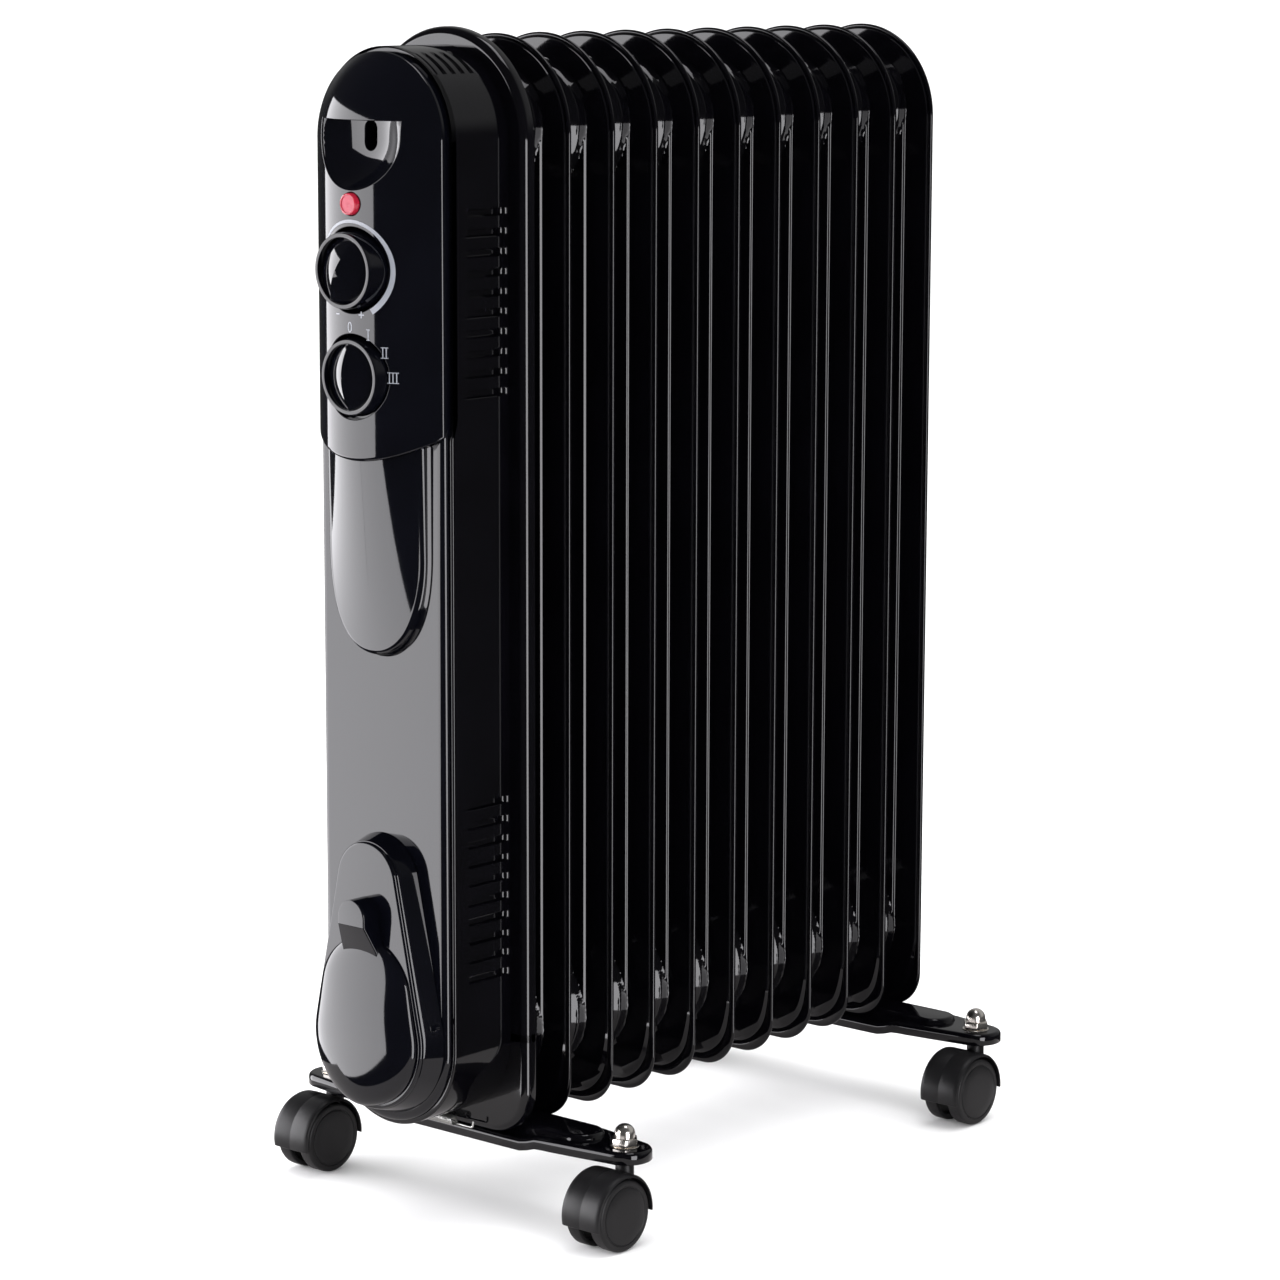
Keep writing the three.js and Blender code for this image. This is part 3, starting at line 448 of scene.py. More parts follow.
# ---- skins cut by holes: a triangulated face over a height function, with rounded rims ----
def filled(outer, holes, step):
    """A 2D area as points and triangles, with a regular grid of points inside it."""
    loops = [np.asarray(loop, float) for loop in (outer, *holes)]
    low, high = loops[0].min(0), loops[0].max(0)
    xs = np.arange(low[0] + step / 2, high[0], step)
    zs = np.arange(low[1] + step / 2, high[1], step)
    inside = np.array([[x + (step / 2 if j % 2 else 0), z] for j, z in enumerate(zs) for x in xs])
    keep = within(inside, loops[0])
    for hole in loops[1:]:
        keep &= ~within(inside, hole)
    edge = np.concatenate(loops)
    apart = inside[:, None] - edge[None]
    gap = np.min(np.hypot(apart[..., 0], apart[..., 1]), axis=1)
    keep &= gap > step * 0.45
    points = np.concatenate([edge, inside[keep]])
    edges, base = [], 0
    for loop in loops:
        edges += [(base + i, base + (i + 1) % len(loop)) for i in range(len(loop))]
        base += len(loop)
    verts, _, faces, _, _, _ = delaunay_2d_cdt([Vector(p) for p in points], edges, [], 0, 1e-6)
    flat = np.array([[v.x, v.y] for v in verts])
    middle = np.array([flat[list(f)].mean(0) for f in faces])
    good = within(middle, loops[0])
    for hole in loops[1:]:
        good &= ~within(middle, hole)
    return flat, [tuple(f) for f, g in zip(faces, good) if g]


def within(points, loop):
    """Which points lie inside a closed loop, by counting the sides crossed towards +X."""
    x, z = points[:, 0][:, None], points[:, 1][:, None]
    x0, z0 = loop[:, 0][None], loop[:, 1][None]
    x1, z1 = np.roll(loop[:, 0], -1)[None], np.roll(loop[:, 1], -1)[None]
    crosses = (z0 > z) != (z1 > z)
    with np.errstate(divide="ignore", invalid="ignore"):
        at = x0 + (z - z0) * (x1 - x0) / (z1 - z0)
    return (np.sum(crosses & (x < at), axis=1) % 2) == 1


def skin(outer, holes, height, step):
    """The front face of a moulding: points, faces and exact normals from its height function."""
    flat, faces = filled(outer, holes, step)
    e = 0.05
    y = height(flat[:, 0], flat[:, 1])
    dx = (height(flat[:, 0] + e, flat[:, 1]) - height(flat[:, 0] - e, flat[:, 1])) / (2 * e)
    dz = (height(flat[:, 0], flat[:, 1] + e) - height(flat[:, 0], flat[:, 1] - e)) / (2 * e)
    normals = np.stack([dx, -np.ones(len(flat)), dz], 1)
    normals /= np.linalg.norm(normals, axis=1)[:, None]
    points = np.stack([flat[:, 0], y, flat[:, 1]], 1)
    turned = []
    for f in faces:
        a, b, c = points[list(f)]
        turned.append(f if np.cross(b - a, c - a)[1] < 0 else f[::-1])
    return (points, turned), normals


def outward(loop, sense):
    """Unit normals of a closed loop: sense 1 points away from its inside."""
    step = np.roll(loop, -1, 0) - np.roll(loop, 1, 0)
    normal = np.stack([step[:, 1], -step[:, 0]], 1)
    normal /= np.linalg.norm(normal, axis=1)[:, None] + 1e-12
    area = np.sum(loop[:, 0] * np.roll(loop[:, 1], -1) - np.roll(loop[:, 0], -1) * loop[:, 1])
    return normal * (1 if area > 0 else -1) * sense


def rim(loop, height, radius, depth, sense, extra=()):
    """The rounded edge of a skin along a loop, going back to depth (a number or one a point)."""
    loop = np.asarray(loop, float)
    normal = outward(loop, sense)
    y = height(loop[:, 0], loop[:, 1])
    e = 0.05
    slope = (y - height(loop[:, 0] - normal[:, 0] * e, loop[:, 1] - normal[:, 1] * e)) / e
    first = np.arctan(slope)
    rings = []
    for t in np.linspace(0, 1, 8):
        a = first + (np.pi / 2 - first) * t
        shift = radius * (np.sin(a) - np.sin(first))
        rings.append(at_y(loop + normal * shift[:, None], y + radius * (np.cos(first) - np.cos(a))))
    last = rings[-1].copy()
    last[:, 1] = np.maximum(depth, last[:, 1] + 0.01)
    rings.append(last)
    for inset, back in extra:
        more = last.copy()
        more[:, 0] += normal[:, 0] * inset
        more[:, 2] += normal[:, 1] * inset
        more[:, 1] += back
        rings.append(more)
    return loft(rings, start=False, end=False)


# ---- control panel ----
PANEL_HIGH = node_box("control_panel")[1]
PANEL_HALF, PANEL_TOP, PANEL_REAR = PANEL_HIGH[0], PANEL_HIGH[2], PANEL_HIGH[1]
PANEL_AXIS, PANEL_RADIUS = -51.5, 56.0
PANEL_EDGE = 2.2
LIP_LOW, LIP_RISE = 409.4, 12.0
DOME_Z = PANEL_TOP - PANEL_HALF
SCOOP_TOP, SCOOP_LOW, SCOOP_HALF, SCOOP_MID = 578.0, 543.5, 27.2, 570.0
SCOOP_FLOOR = -92.5
KNOB_Z = [(node_box(n)[0][2] + node_box(n)[1][2]) / 2 for n in ("knob_thermostat", "knob_switch")]
WELL_FLOOR, WELL_RADIUS = -101.5, 21.6
LAMP_LOW, LAMP_HIGH = node_box("lamp_lens")
LAMP_Z = (LAMP_LOW[2] + LAMP_HIGH[2]) / 2
LAMP_RADIUS = LAMP_HIGH[0]


def panel_y(x, z):
    """The panel's front: a half cylinder that closes in a quarter ball at the top."""
    up = np.maximum(np.asarray(z, float) - DOME_Z, 0)
    return PANEL_AXIS - np.sqrt(np.maximum(PANEL_RADIUS**2 - np.asarray(x, float) ** 2 - up**2, 1))


def lip_z(x):
    """The panel's lower edge, which curves up to both sides."""
    return LIP_LOW + LIP_RISE * (x / PANEL_HALF) ** 2


def panel_outline(inset):
    h = PANEL_HALF - inset
    across = np.linspace(-h, h, 60)
    lip = np.stack([across, lip_z(across) + inset * 0.35], 1)
    sides = np.arange(430, DOME_Z - 1, 2.0)
    return np.concatenate([
        lip,
        np.stack([np.full(len(sides), h), sides], 1),
        arc(0, DOME_Z, h, 0, 180, 100),
        np.stack([np.full(len(sides), -h), sides[::-1]], 1),
    ])


def scoop_outline(inset):
    h = SCOOP_HALF - inset
    top = SCOOP_TOP - inset
    a = np.radians(np.linspace(180, 360, 70))
    low = np.stack([h * np.cos(a), SCOOP_MID + (SCOOP_MID - SCOOP_LOW - inset) * np.sin(a)], 1)
    across = np.linspace(h, -h, 45)[1:-1]
    right = np.linspace(SCOOP_MID, top, 8)[1:]
    return np.concatenate([
        low,
        np.stack([np.full(7, h), right], 1),
        np.stack([across, np.full(43, top)], 1),
        np.stack([np.full(7, -h), right[::-1]], 1),
    ])


def scoop_y(x, z):
    """The dished floor of the finger scoop."""
    down = np.minimum(np.asarray(z, float) - SCOOP_MID, 0) / (SCOOP_MID - SCOOP_LOW)
    reach = np.clip(np.hypot(np.asarray(x, float) / SCOOP_HALF, down), 0, 1)
    return SCOOP_FLOOR + (panel_y(x, z) + 0.7 - SCOOP_FLOOR) * reach**3.0


def circle(z, radius, count):
    return arc(0, z, radius, 0, 360 * (1 - 1 / count), count)


FILLET = 0.55
panel_holes = [
    scoop_outline(-FILLET),
    circle(KNOB_Z[0], WELL_RADIUS + FILLET, 120),
    circle(KNOB_Z[1], WELL_RADIUS + FILLET, 120),
    circle(LAMP_Z, LAMP_RADIUS + 0.3 + FILLET, 48),
]
face, face_normals = skin(panel_outline(0.52), panel_holes, panel_y, 1.6)
old = ["control_panel"]
build("control_panel_face", face, PLASTIC, replaces=old, exact=face_normals)
# the upright slot in the scoop's floor
keyhole = np.concatenate([arc(0, 573.3, 4.6, 0, 180, 20), arc(0, 566.7, 4.6, 180, 360, 20)])
dish, dish_normals = skin(scoop_outline(0), [keyhole], scoop_y, 1.2)
build("control_panel_scoop", dish, PLASTIC, exact=dish_normals)
scoop_low = scoop_y(*scoop_outline(0).T)
rims = [
    rim(panel_outline(0.52), panel_y, PANEL_EDGE, PANEL_REAR, 1, extra=[(-1.8, 0.0), (-1.8, -6.0)]),
    rim(panel_holes[0], panel_y, FILLET, scoop_low, -1),
    rim(keyhole, scoop_y, 0.3, -86.0, -1),
    rim(panel_holes[3], panel_y, FILLET, -99.0, -1),
]
for z, hole in zip(KNOB_Z, panel_holes[1:3]):
    rims.append(rim(hole, panel_y, FILLET, WELL_FLOOR, -1))
    well = [(WELL_RADIUS + 0.3, WELL_FLOOR), (3.9, WELL_FLOOR), (3.9, WELL_FLOOR + 3)]
    rims.append(lathe(well, 96, "y", (0, 0, z)))
rims.append(lathe([(LAMP_RADIUS + 0.6, -99.2), (1.0, -99.2)], 48, "y", (0, 0, LAMP_Z)))
build("control_panel_rims", join(*rims), PLASTIC, sharp=40)

# ---- printed marks on the panel ----
def on_panel(outline, lift=0.1):
    """A flat outline laid on the panel's curved front."""
    outline = np.asarray(outline, float)
    return np.stack([outline[:, 0], panel_y(outline[:, 0], outline[:, 1]) - lift, outline[:, 1]], 1)


def strip(inner, outer):
    """A printed band between two lines of as many points."""
    points = np.concatenate([on_panel(inner), on_panel(outer)])
    return points, grid_faces(2, len(inner))


def bar(x, z, width, height):
    across = np.linspace(x - width / 2, x + width / 2, 7)
    low = np.stack([across, np.full(7, z - height / 2)], 1)
    return strip(low, low + [0, height])


def numeral(x, z, count, height=5.2, pitch=1.75, stroke=0.5):
    """A Roman numeral: upright bars between two thin serif lines."""
    parts = [bar(x + (i - (count - 1) / 2) * pitch, z, stroke, height) for i in range(count)]
    width = (count - 1) * pitch + 2.1
    parts += [bar(x, z + end * height / 2, width, 0.4) for end in (-1, 1)]
    return join(*parts)


MARK_RADIUS = 25.2


def dial_marks():
    """The thermostat's growing arc with its signs, and the switch's nought and numerals."""
    turn = np.radians(np.linspace(205, -58, 120))
    share = np.linspace(0, 1, 120)
    outer = np.stack([MARK_RADIUS * np.cos(turn), KNOB_Z[0] + MARK_RADIUS * np.sin(turn)], 1)
    reach = MARK_RADIUS - (0.7 + 2.3 * share**1.2)
    inner = np.stack([reach * np.cos(turn), KNOB_Z[0] + reach * np.sin(turn)], 1)
    a = np.radians(np.linspace(0, 360, 33))
    ring_out = np.stack([-1.2 + 1.45 * np.cos(a), 475 + 2.7 * np.sin(a)], 1)
    ring_in = np.stack([-1.2 + 0.85 * np.cos(a), 475 + 2.15 * np.sin(a)], 1)
    return join(
        strip(inner, outer),
        strip(ring_in, ring_out),
        bar(-10.5, 481, 2.6, 0.6),
        bar(6.5, 481.5, 3.4, 0.65),
        bar(6.5, 481.5, 0.65, 3.4),
        numeral(10.6, 471.7, 1),
        numeral(19.5, 463.1, 2),
        numeral(23.6, 450.7, 3),
    )


build("dial_marks", dial_marks(), PRINT)

# ---- lower fascia and its raised tongue ----
FASCIA_LOW, FASCIA_HIGH = node_box("lower_fascia")
FASCIA_HALF, FASCIA_BOTTOM, FASCIA_REAR = FASCIA_HIGH[0], FASCIA_LOW[2], FASCIA_HIGH[1]
FASCIA_FACE = -87.6
TONGUE_FACE = FASCIA_FACE - 2.8


def fascia():
    def ring(s, y):
        h = FASCIA_HALF - s
        low = arc(0, FASCIA_BOTTOM + FASCIA_HALF, h, 180, 360, 80)
        return at_y(np.concatenate([[[-h, 440 - s]], low, [[h, 440 - s]]]), y)

    deep = FASCIA_REAR - FASCIA_FACE
    path = [(2.0, FASCIA_REAR), (0.0, FASCIA_REAR)]
    for a in np.radians(np.linspace(0, 90, 14)):
        path.append((4.4 * (1 - math.cos(a)), FASCIA_REAR - 0.1 - (deep - 0.1) * math.sin(a)))
    return loft([ring(s, y) for s, y in path])


TONGUE_HALF, TONGUE_LOW, TONGUE_RISE, TONGUE_SLOPE = 35.3, 305.0, 4.2, 0.0753


def tongue_half(s):
    """Half the outline of the tongue, from its tip up the right side."""
    z = TONGUE_LOW + s + (135 - s) * np.linspace(0, 1, 70) ** 2
    t = np.clip((360 - z) / (55 - s), 0, 1)
    x = (TONGUE_HALF - s) * (1 - t**2.2) ** (1 / 2.2)
    return np.stack([x, z], 1)


def tongue():
    """The raised tongue: a rounded edge and a crowned face that stands prouder towards the top."""
    def ring(s, y):
        half = tongue_half(s)
        return at_y(np.concatenate([half, (half * [-1, 1])[::-1]]), y)

    def crown(s):
        half = tongue_half(s)
        share = 1 - (half[:, 0] / TONGUE_HALF) ** 2
        rise = share * (TONGUE_RISE + TONGUE_SLOPE * (half[:, 1] - TONGUE_LOW))
        both = TONGUE_FACE - rise
        return at_y(np.concatenate([half, (half * [-1, 1])[::-1]]), np.concatenate([both, both[::-1]]))

    rings = [ring(0, FASCIA_FACE + 0.5), ring(0.5, FASCIA_FACE - 0.6), ring(1.2, FASCIA_FACE - 1.4)]
    edge = 4.3
    start = crown(edge)
    for t in np.linspace(0, 1, 8)[1:]:
        a = t * np.pi / 2
        low = ring(1.2 + (edge - 1.2) * (1 - math.cos(a)), 0)
        low[:, 1] = FASCIA_FACE - 1.4 + (start[:, 1] - FASCIA_FACE + 1.4) * math.sin(a)
        rings.append(low)
    for s in (5, 6.5, 8.5, 11, 14, 17.5, 21.5, 25.5, 29.5, 33, TONGUE_HALF - 0.05):
        rings.append(crown(s))
    return loft(rings, start=False, end=False)


build("lower_fascia_plate", fascia(), PLASTIC, replaces=["lower_fascia"])
build("lower_fascia_tongue", tongue(), PLASTIC, sharp=50)

# ---- cord winder ----
WINDER_LOW, WINDER_HIGH = node_box("winder_base")
COVER_LOW, COVER_HIGH = node_box("winder_cover")


def drop(top_z, top_r, low_z, low_r):
    """Drop outline: a small arc above, a large arc below, straight flanks between."""
    lean = math.degrees(math.asin((low_r - top_r) / (top_z - low_z)))
    up = arc(0, top_z, top_r, lean, 180 - lean, 50)
    down = arc(0, low_z, low_r, 180 - lean, 360 + lean, 80)
    share = np.linspace(0, 1, 14)[1:-1, None]
    left = up[-1] + (down[0] - up[-1]) * share
    right = down[-1] + (up[0] - down[-1]) * share
    return np.concatenate([up, left, down, right])


def winder_base():
    """The drop-shaped foot of the winder, with a fine groove behind its front edge."""
    rear, front = WINDER_HIGH[1], WINDER_LOW[1]

    def ring(t, inset=0.0):
        """t runs from the foot at 0 to the front edge at 1."""
        top = 25 - 4.4 * t - inset
        low = 42.5 - 4.8 * t - inset
        return at_y(drop(188 + t, top, 107, low), rear + (front - rear) * t)

    rings = [ring(0, 0.4), ring(0.01)] + [ring(t) for t in np.linspace(0.06, 0.80, 10)]
    rings += [ring(0.83, 0.05), ring(0.845, 0.45), ring(0.87, 0.45), ring(0.885, 0.05), ring(0.91)]
    edge = 1.1
    for a in np.radians(np.linspace(0, 90, 9)):
        t = 1 - edge * (1 - math.sin(a)) / (rear - front)
        rings.append(ring(t, edge * (1 - math.cos(a))))
    return loft(rings)


POD_LOW, POD_TOP, POD_BELLY, POD_VALLEY = 71.4, 160.4, 105.0, 154.0
POD_WIDE, POD_WIDE_Z = 35.6, 107.0
POD_SLIM, POD_SLIM_Z = 31.4, 129.0
TAB_STEP, TAB_Z, TAB_HALF = 168.0, 172.0, 9.4


def pod_half(z):
    """Half the width of the egg-shaped pod at a height."""
    lean = (POD_WIDE - POD_SLIM) / (POD_SLIM_Z - POD_WIDE_Z)
    if z < POD_WIDE_Z + POD_WIDE * lean:
        return math.sqrt(max(POD_WIDE**2 - (z - POD_WIDE_Z) ** 2, 0))
    if z > POD_SLIM_Z + POD_SLIM * lean:
        return math.sqrt(max(POD_SLIM**2 - (z - POD_SLIM_Z) ** 2, 0))
    return (POD_WIDE - (z - POD_WIDE_Z) * lean) / math.sqrt(1 - lean**2)


def pod_setback(z):
    """How far the pod's front line stands behind its foremost point at a height."""
    if z <= POD_BELLY:
        return 0.0
    return 0.00256 * (min(z, POD_VALLEY) - POD_BELLY) ** 2


def winder_cover():
    """The egg-shaped pod, as half rings from its lowest point to its rounded top."""
    rear, front = COVER_HIGH[1], COVER_LOW[1]
    a = np.radians(np.linspace(-90, 90, 61))
    below = POD_BELLY - (POD_BELLY - POD_LOW) * np.cos(np.radians(np.linspace(1, 88, 30)))
    above = POD_VALLEY + (POD_TOP - POD_VALLEY) * np.sin(np.radians(np.linspace(8, 89, 14)))
    rings = []
    for z in np.concatenate([below, np.linspace(POD_BELLY, POD_VALLEY, 26), above]):
        depth = rear - front - pod_setback(z)
        if z < POD_BELLY:
            depth *= (1 - ((POD_BELLY - z) / (POD_BELLY - POD_LOW)) ** 3.6) ** (1 / 3.6)
        if z > POD_VALLEY:
            depth *= math.sqrt(max(1 - ((z - POD_VALLEY) / (POD_TOP - POD_VALLEY)) ** 2, 0))
        half = pod_half(z)
        rings.append(at_z(np.stack([half * np.sin(a), rear - depth * np.cos(a)], 1), z))
    return loft(rings)


def thumb_tab():
    """The round-topped tab that leans out of the pod's valley."""
    front, rear = COVER_LOW[1] + 0.2, COVER_HIGH[1] + 0.2
    rings = []
    levels = np.concatenate([
        np.linspace(150, TAB_STEP - 0.4, 10),
        TAB_STEP + np.array([-0.2, 0, 0.3, 0.8, 2.0, 3.4]),
        TAB_Z + TAB_HALF * np.sin(np.radians(np.linspace(6, 88, 14))),
    ])
    setback = pod_setback(POD_VALLEY)
    for z in levels:
        drop_share = np.clip((TAB_STEP - z) / (TAB_STEP - POD_VALLEY), 0, 1)
        if z < TAB_Z:
            half = TAB_HALF + 3.1 * drop_share
        else:
            half = math.sqrt(TAB_HALF**2 - (z - TAB_Z) ** 2)
        face = front + setback * drop_share + 0.25 * max(POD_VALLEY - z, 0)
        r = min(0.9, half * 0.5)
        corner = arc(half - r, face + r, r, 0, -90, 7)
        left = corner[::-1] * [-1, 1]
        rings.append(at_z(np.concatenate([[[half, rear]], corner, left, [[-half, rear]]]), z))
    return loft(rings)


build("winder_base_shell", winder_base(), PLASTIC, replaces=["winder_base"], sharp=35)
build("winder_cover_pod", winder_cover(), PLASTIC, replaces=["winder_cover"], sharp=40)
build("winder_cover_tab", thumb_tab(), PLASTIC, sharp=28)
pin = lathe([(0.3, -1.4), (1.1, -1.4), (1.5, -1.0), (1.5, 1.6)], 20, "y", (41.2, -92.6, 117))
build("winder_pin", pin, PLASTIC)

# ---- knobs ----
KNOB_RIDGE, KNOB_INNER = 5.2, 16.6


def knob(name, node, turn):
    """A round cap: a flat lip and, inside it, a roof-shaped grip with an arched ridge."""
    low, high = node_box(node)
    face = low[1] + KNOB_RIDGE
    z0 = (low[2] + high[2]) / 2
    skirt = (high[2] - low[2]) / 2
    top = skirt - 1.5
    back = WELL_FLOOR - 0.3
    count = 144
    a = np.linspace(0, 2 * np.pi, count, endpoint=False)
    lean = math.radians(turn)

    def ring(r, y):
        across, along = r * np.cos(a), r * np.sin(a)
        x = across * math.cos(lean) + along * math.sin(lean)
        z = along * math.cos(lean) - across * math.sin(lean)
        return np.stack([x, np.broadcast_to(y, count), z + z0], 1)

    def roof(r):
        across, along = np.abs(r * np.cos(a)), r * np.sin(a)
        arch = (KNOB_RIDGE + 0.3) * (1 - (along / 16.8) ** 2)
        return face + 0.3 - arch + 0.32 * across + 0.012 * across**2

    radii = [0.01, *np.linspace(0.8, KNOB_INNER - 0.4, 22), KNOB_INNER]
    rings = [ring(r, roof(r)) for r in radii]
    rings.append(ring(KNOB_INNER + 0.12, np.minimum(roof(KNOB_INNER), face + 0.5)))
    lip = [(16.9, 0.16), (17.2, 0.03), (17.7, 0), (18.3, 0), (18.7, 0.08), (18.95, 0.3), (top, 0.75)]
    for r, sunk in lip:
        rings.append(ring(r, face + sunk))
    for t in (0.15, 0.5, 0.9, 1.0):
        rings.append(ring(top + (skirt - top) * t, face + 0.75 + (back - face - 0.75) * t))
    build(name, loft(rings), PLASTIC, body=node, replaces=[node], sharp=29)


knob("knob_thermostat_cap", "knob_thermostat", 28)
knob("knob_switch_cap", "knob_switch", 0)

# ---- neon lens: a ribbed front in a plain barrel ----
def lens():
    """The plain barrel; each pair is how far in from its side, and at what depth."""
    front, rear = LAMP_LOW[1], LAMP_HIGH[1]
    profile = [(0.3, rear), (0, rear - 0.3), (0, front + 0.6), (0.2, front + 0.2)]
    profile += [(0.6, front), (1.0, front + 0.1), (1.1, front + 0.5)]
    return lathe([(LAMP_RADIUS - inset, y) for inset, y in profile], 48, "y", (0, 0, LAMP_Z))


def lens_face():
    """The front, whose rings stand out and back in turn."""
    profile = [(LAMP_RADIUS - 1.15, LAMP_LOW[1] + 1.2)]
    for i, r in enumerate(np.linspace(LAMP_RADIUS - 1.15, 0.3, 11)):
        profile.append((r, LAMP_LOW[1] + (0.62 if i % 2 == 0 else 0.3)))
    return lathe(profile, 48, "y", (0, 0, LAMP_Z))


build("lamp_lens_red", lens(), LENS, replaces=["lamp_lens"])
build("lamp_lens_ribs", lens_face(), LENS_FACE)


# ---- feet ----
FOOT_TOP, FOOT_RISE = 48.5, 2.8


def crank(outline, z):
    """An outline at a height that steps up towards the two ends of a foot."""
    return at_z(outline, z + FOOT_RISE * smooth((np.abs(outline[:, 0]) - 50) / 12))


def paired_faces(count):
    """Quads across a closed bar outline: each point and the one opposite it."""
    right = (count + 2) // 2
    pairs = [(i, right - 1 - i) for i in range(right // 2)]
    pairs_left = [(count - 1 - i, right + i) for i in range((count - right) // 2)]
    faces = []
    for row in (pairs, [pairs[0], *pairs_left]):
        for (a, b), (c, d) in zip(row, row[1:]):
            faces.append((a, c, d, b))
    return faces


def foot(node):
    low, high = node_box(node)
    yc = (low[1] + high[1]) / 2
    reach = high[0]
    base, top = low[2], FOOT_TOP

    def plan(inset):
        end, waist = 13.5 - inset, 20.5 - inset
        middle = np.linspace(0, 70, 15)[:-1]
        narrow = np.interp(middle, [40, 55, 70], [0, 0.35, 1.6])
        lower = np.concatenate([
            np.stack([middle, narrow - waist], 1),
            [[70, 1.6 - waist], [85, 3.6 - waist], [98, 5.6 - waist]],
            arc(reach - 13.5, 0, end, -78, 0, 13)[:-1],
        ])
        right = np.concatenate([lower, (lower * [1, -1])[::-1]])
        left = (right * [-1, 1])[::-1][1:-1]
        return np.concatenate([right, left]) + [0, yc]

    def sheet(path):
        points, faces = loft([crank(plan(s), z) for s, z in path], start=False, end=False)
        count = len(plan(0))
        first = len(points) - count
        return points, faces + [tuple(first + i for i in f) for f in paired_faces(count)]

    path = [(1.6, base + 0.5), (1.2, base), (0.3, base), (0, base + 0.3), (0, top - 2.6)]
    for a in np.radians(np.linspace(10, 90, 9)):
        path.append((2.4 * (1 - math.cos(a)), top - 2.4 + 2.4 * math.sin(a)))
    shell = sheet(path)
    inside = sheet([(1.6, base + 0.5), (1.6, top - 1.6)])

    def pad(inset):
        r = 12.5 - inset
        return np.concatenate([arc(76, yc, r, -90, 90, 30), arc(-76, yc, r, 90, 270, 30)])

    ledge = [(-2.4, top - 0.3), (-1.4, top + 0.12), (-0.4, top + 0.9), (0.5, top + 3.6), (1.2, top + 5.2)]
    ledge += [(2.2, top + 5.85), (3.4, top + 6.0)]
    raised = loft([at_z(pad(s), z) for s, z in ledge], start=False)
    shape = join(shell, inside, raised)
    build(f"{node}_pressing", shape, PAINT, replaces=[node], sharp=45)


foot("foot_front")
foot("foot_rear")

# ---- tension spring ----
def tube(path, radius, sides=8):
    """A round wire along a path of points."""
    path = np.asarray(path, float)
    ahead = np.gradient(path, axis=0)
    ahead /= np.linalg.norm(ahead, axis=1)[:, None]
    up = np.array([0.13, 0.27, 0.95])
    side = np.cross(ahead, up)
    side /= np.linalg.norm(side, axis=1)[:, None]
    other = np.cross(ahead, side)
    a = np.linspace(0, 2 * np.pi, sides, endpoint=False)
    rings = []
    for point, s, o in zip(path, side, other):
        rings.append(point + radius * (np.outer(np.cos(a), s) + np.outer(np.sin(a), o)))
    return loft(rings)


def coil_spring():
    """The cover's pull spring: a tight coil, a round hook on the right and a tail on the left."""
    low, high = node_box("cover_spring")
    yc, zc = (low[1] + high[1]) / 2, 52.0
    wire, r, turns = 0.42, 2.25, 34
    t = np.linspace(0, turns, turns * 14)
    angle = 2 * np.pi * t
    coil = np.stack([-26 + 36 * t / turns, yc + r * np.cos(angle), zc + r * np.sin(angle)], 1)
    bend = np.radians(np.linspace(0, 90, 8))
    hook = [[10, yc + r, zc], [10.6, yc + 1.4, zc - 0.8], [12, yc, zc - 1.2], [22, yc, zc - 1.2]]
    hook += [[22 + 1.8 * math.sin(b), yc, zc - 1.2 + 1.8 * (1 - math.cos(b))] for b in bend[1:]]
    hook += [[23.8, yc, zc + 2.2]]
    tail = [[-26, yc + r, zc], [-26.6, yc + 1.2, zc], [-28, yc, zc], [-35.6, yc, zc]]
    return join(tube(coil, wire, 7), tube(hook, 0.6), tube(tail, 0.6))


build("cover_spring_wire", coil_spring(), ZINC, replaces=["cover_spring"], sharp=60)


# ---- casters ----
def hexagon(radius, turn=0.0, corner=0.6):
    """A hexagon with slightly rounded corners, corner radius at its points."""
    a = np.radians(np.arange(6) * 60 + turn)
    tips = np.stack([radius * np.cos(a), radius * np.sin(a)], 1)
    points = []
    for i in range(6):
        before, here, after = tips[i - 1], tips[i], tips[(i + 1) % 6]
        start = here + (before - here) / np.linalg.norm(before - here) * corner
        stop = here + (after - here) / np.linalg.norm(after - here) * corner
        points += [start, (start + stop + 2 * here) / 4, stop]
    return np.array(points)


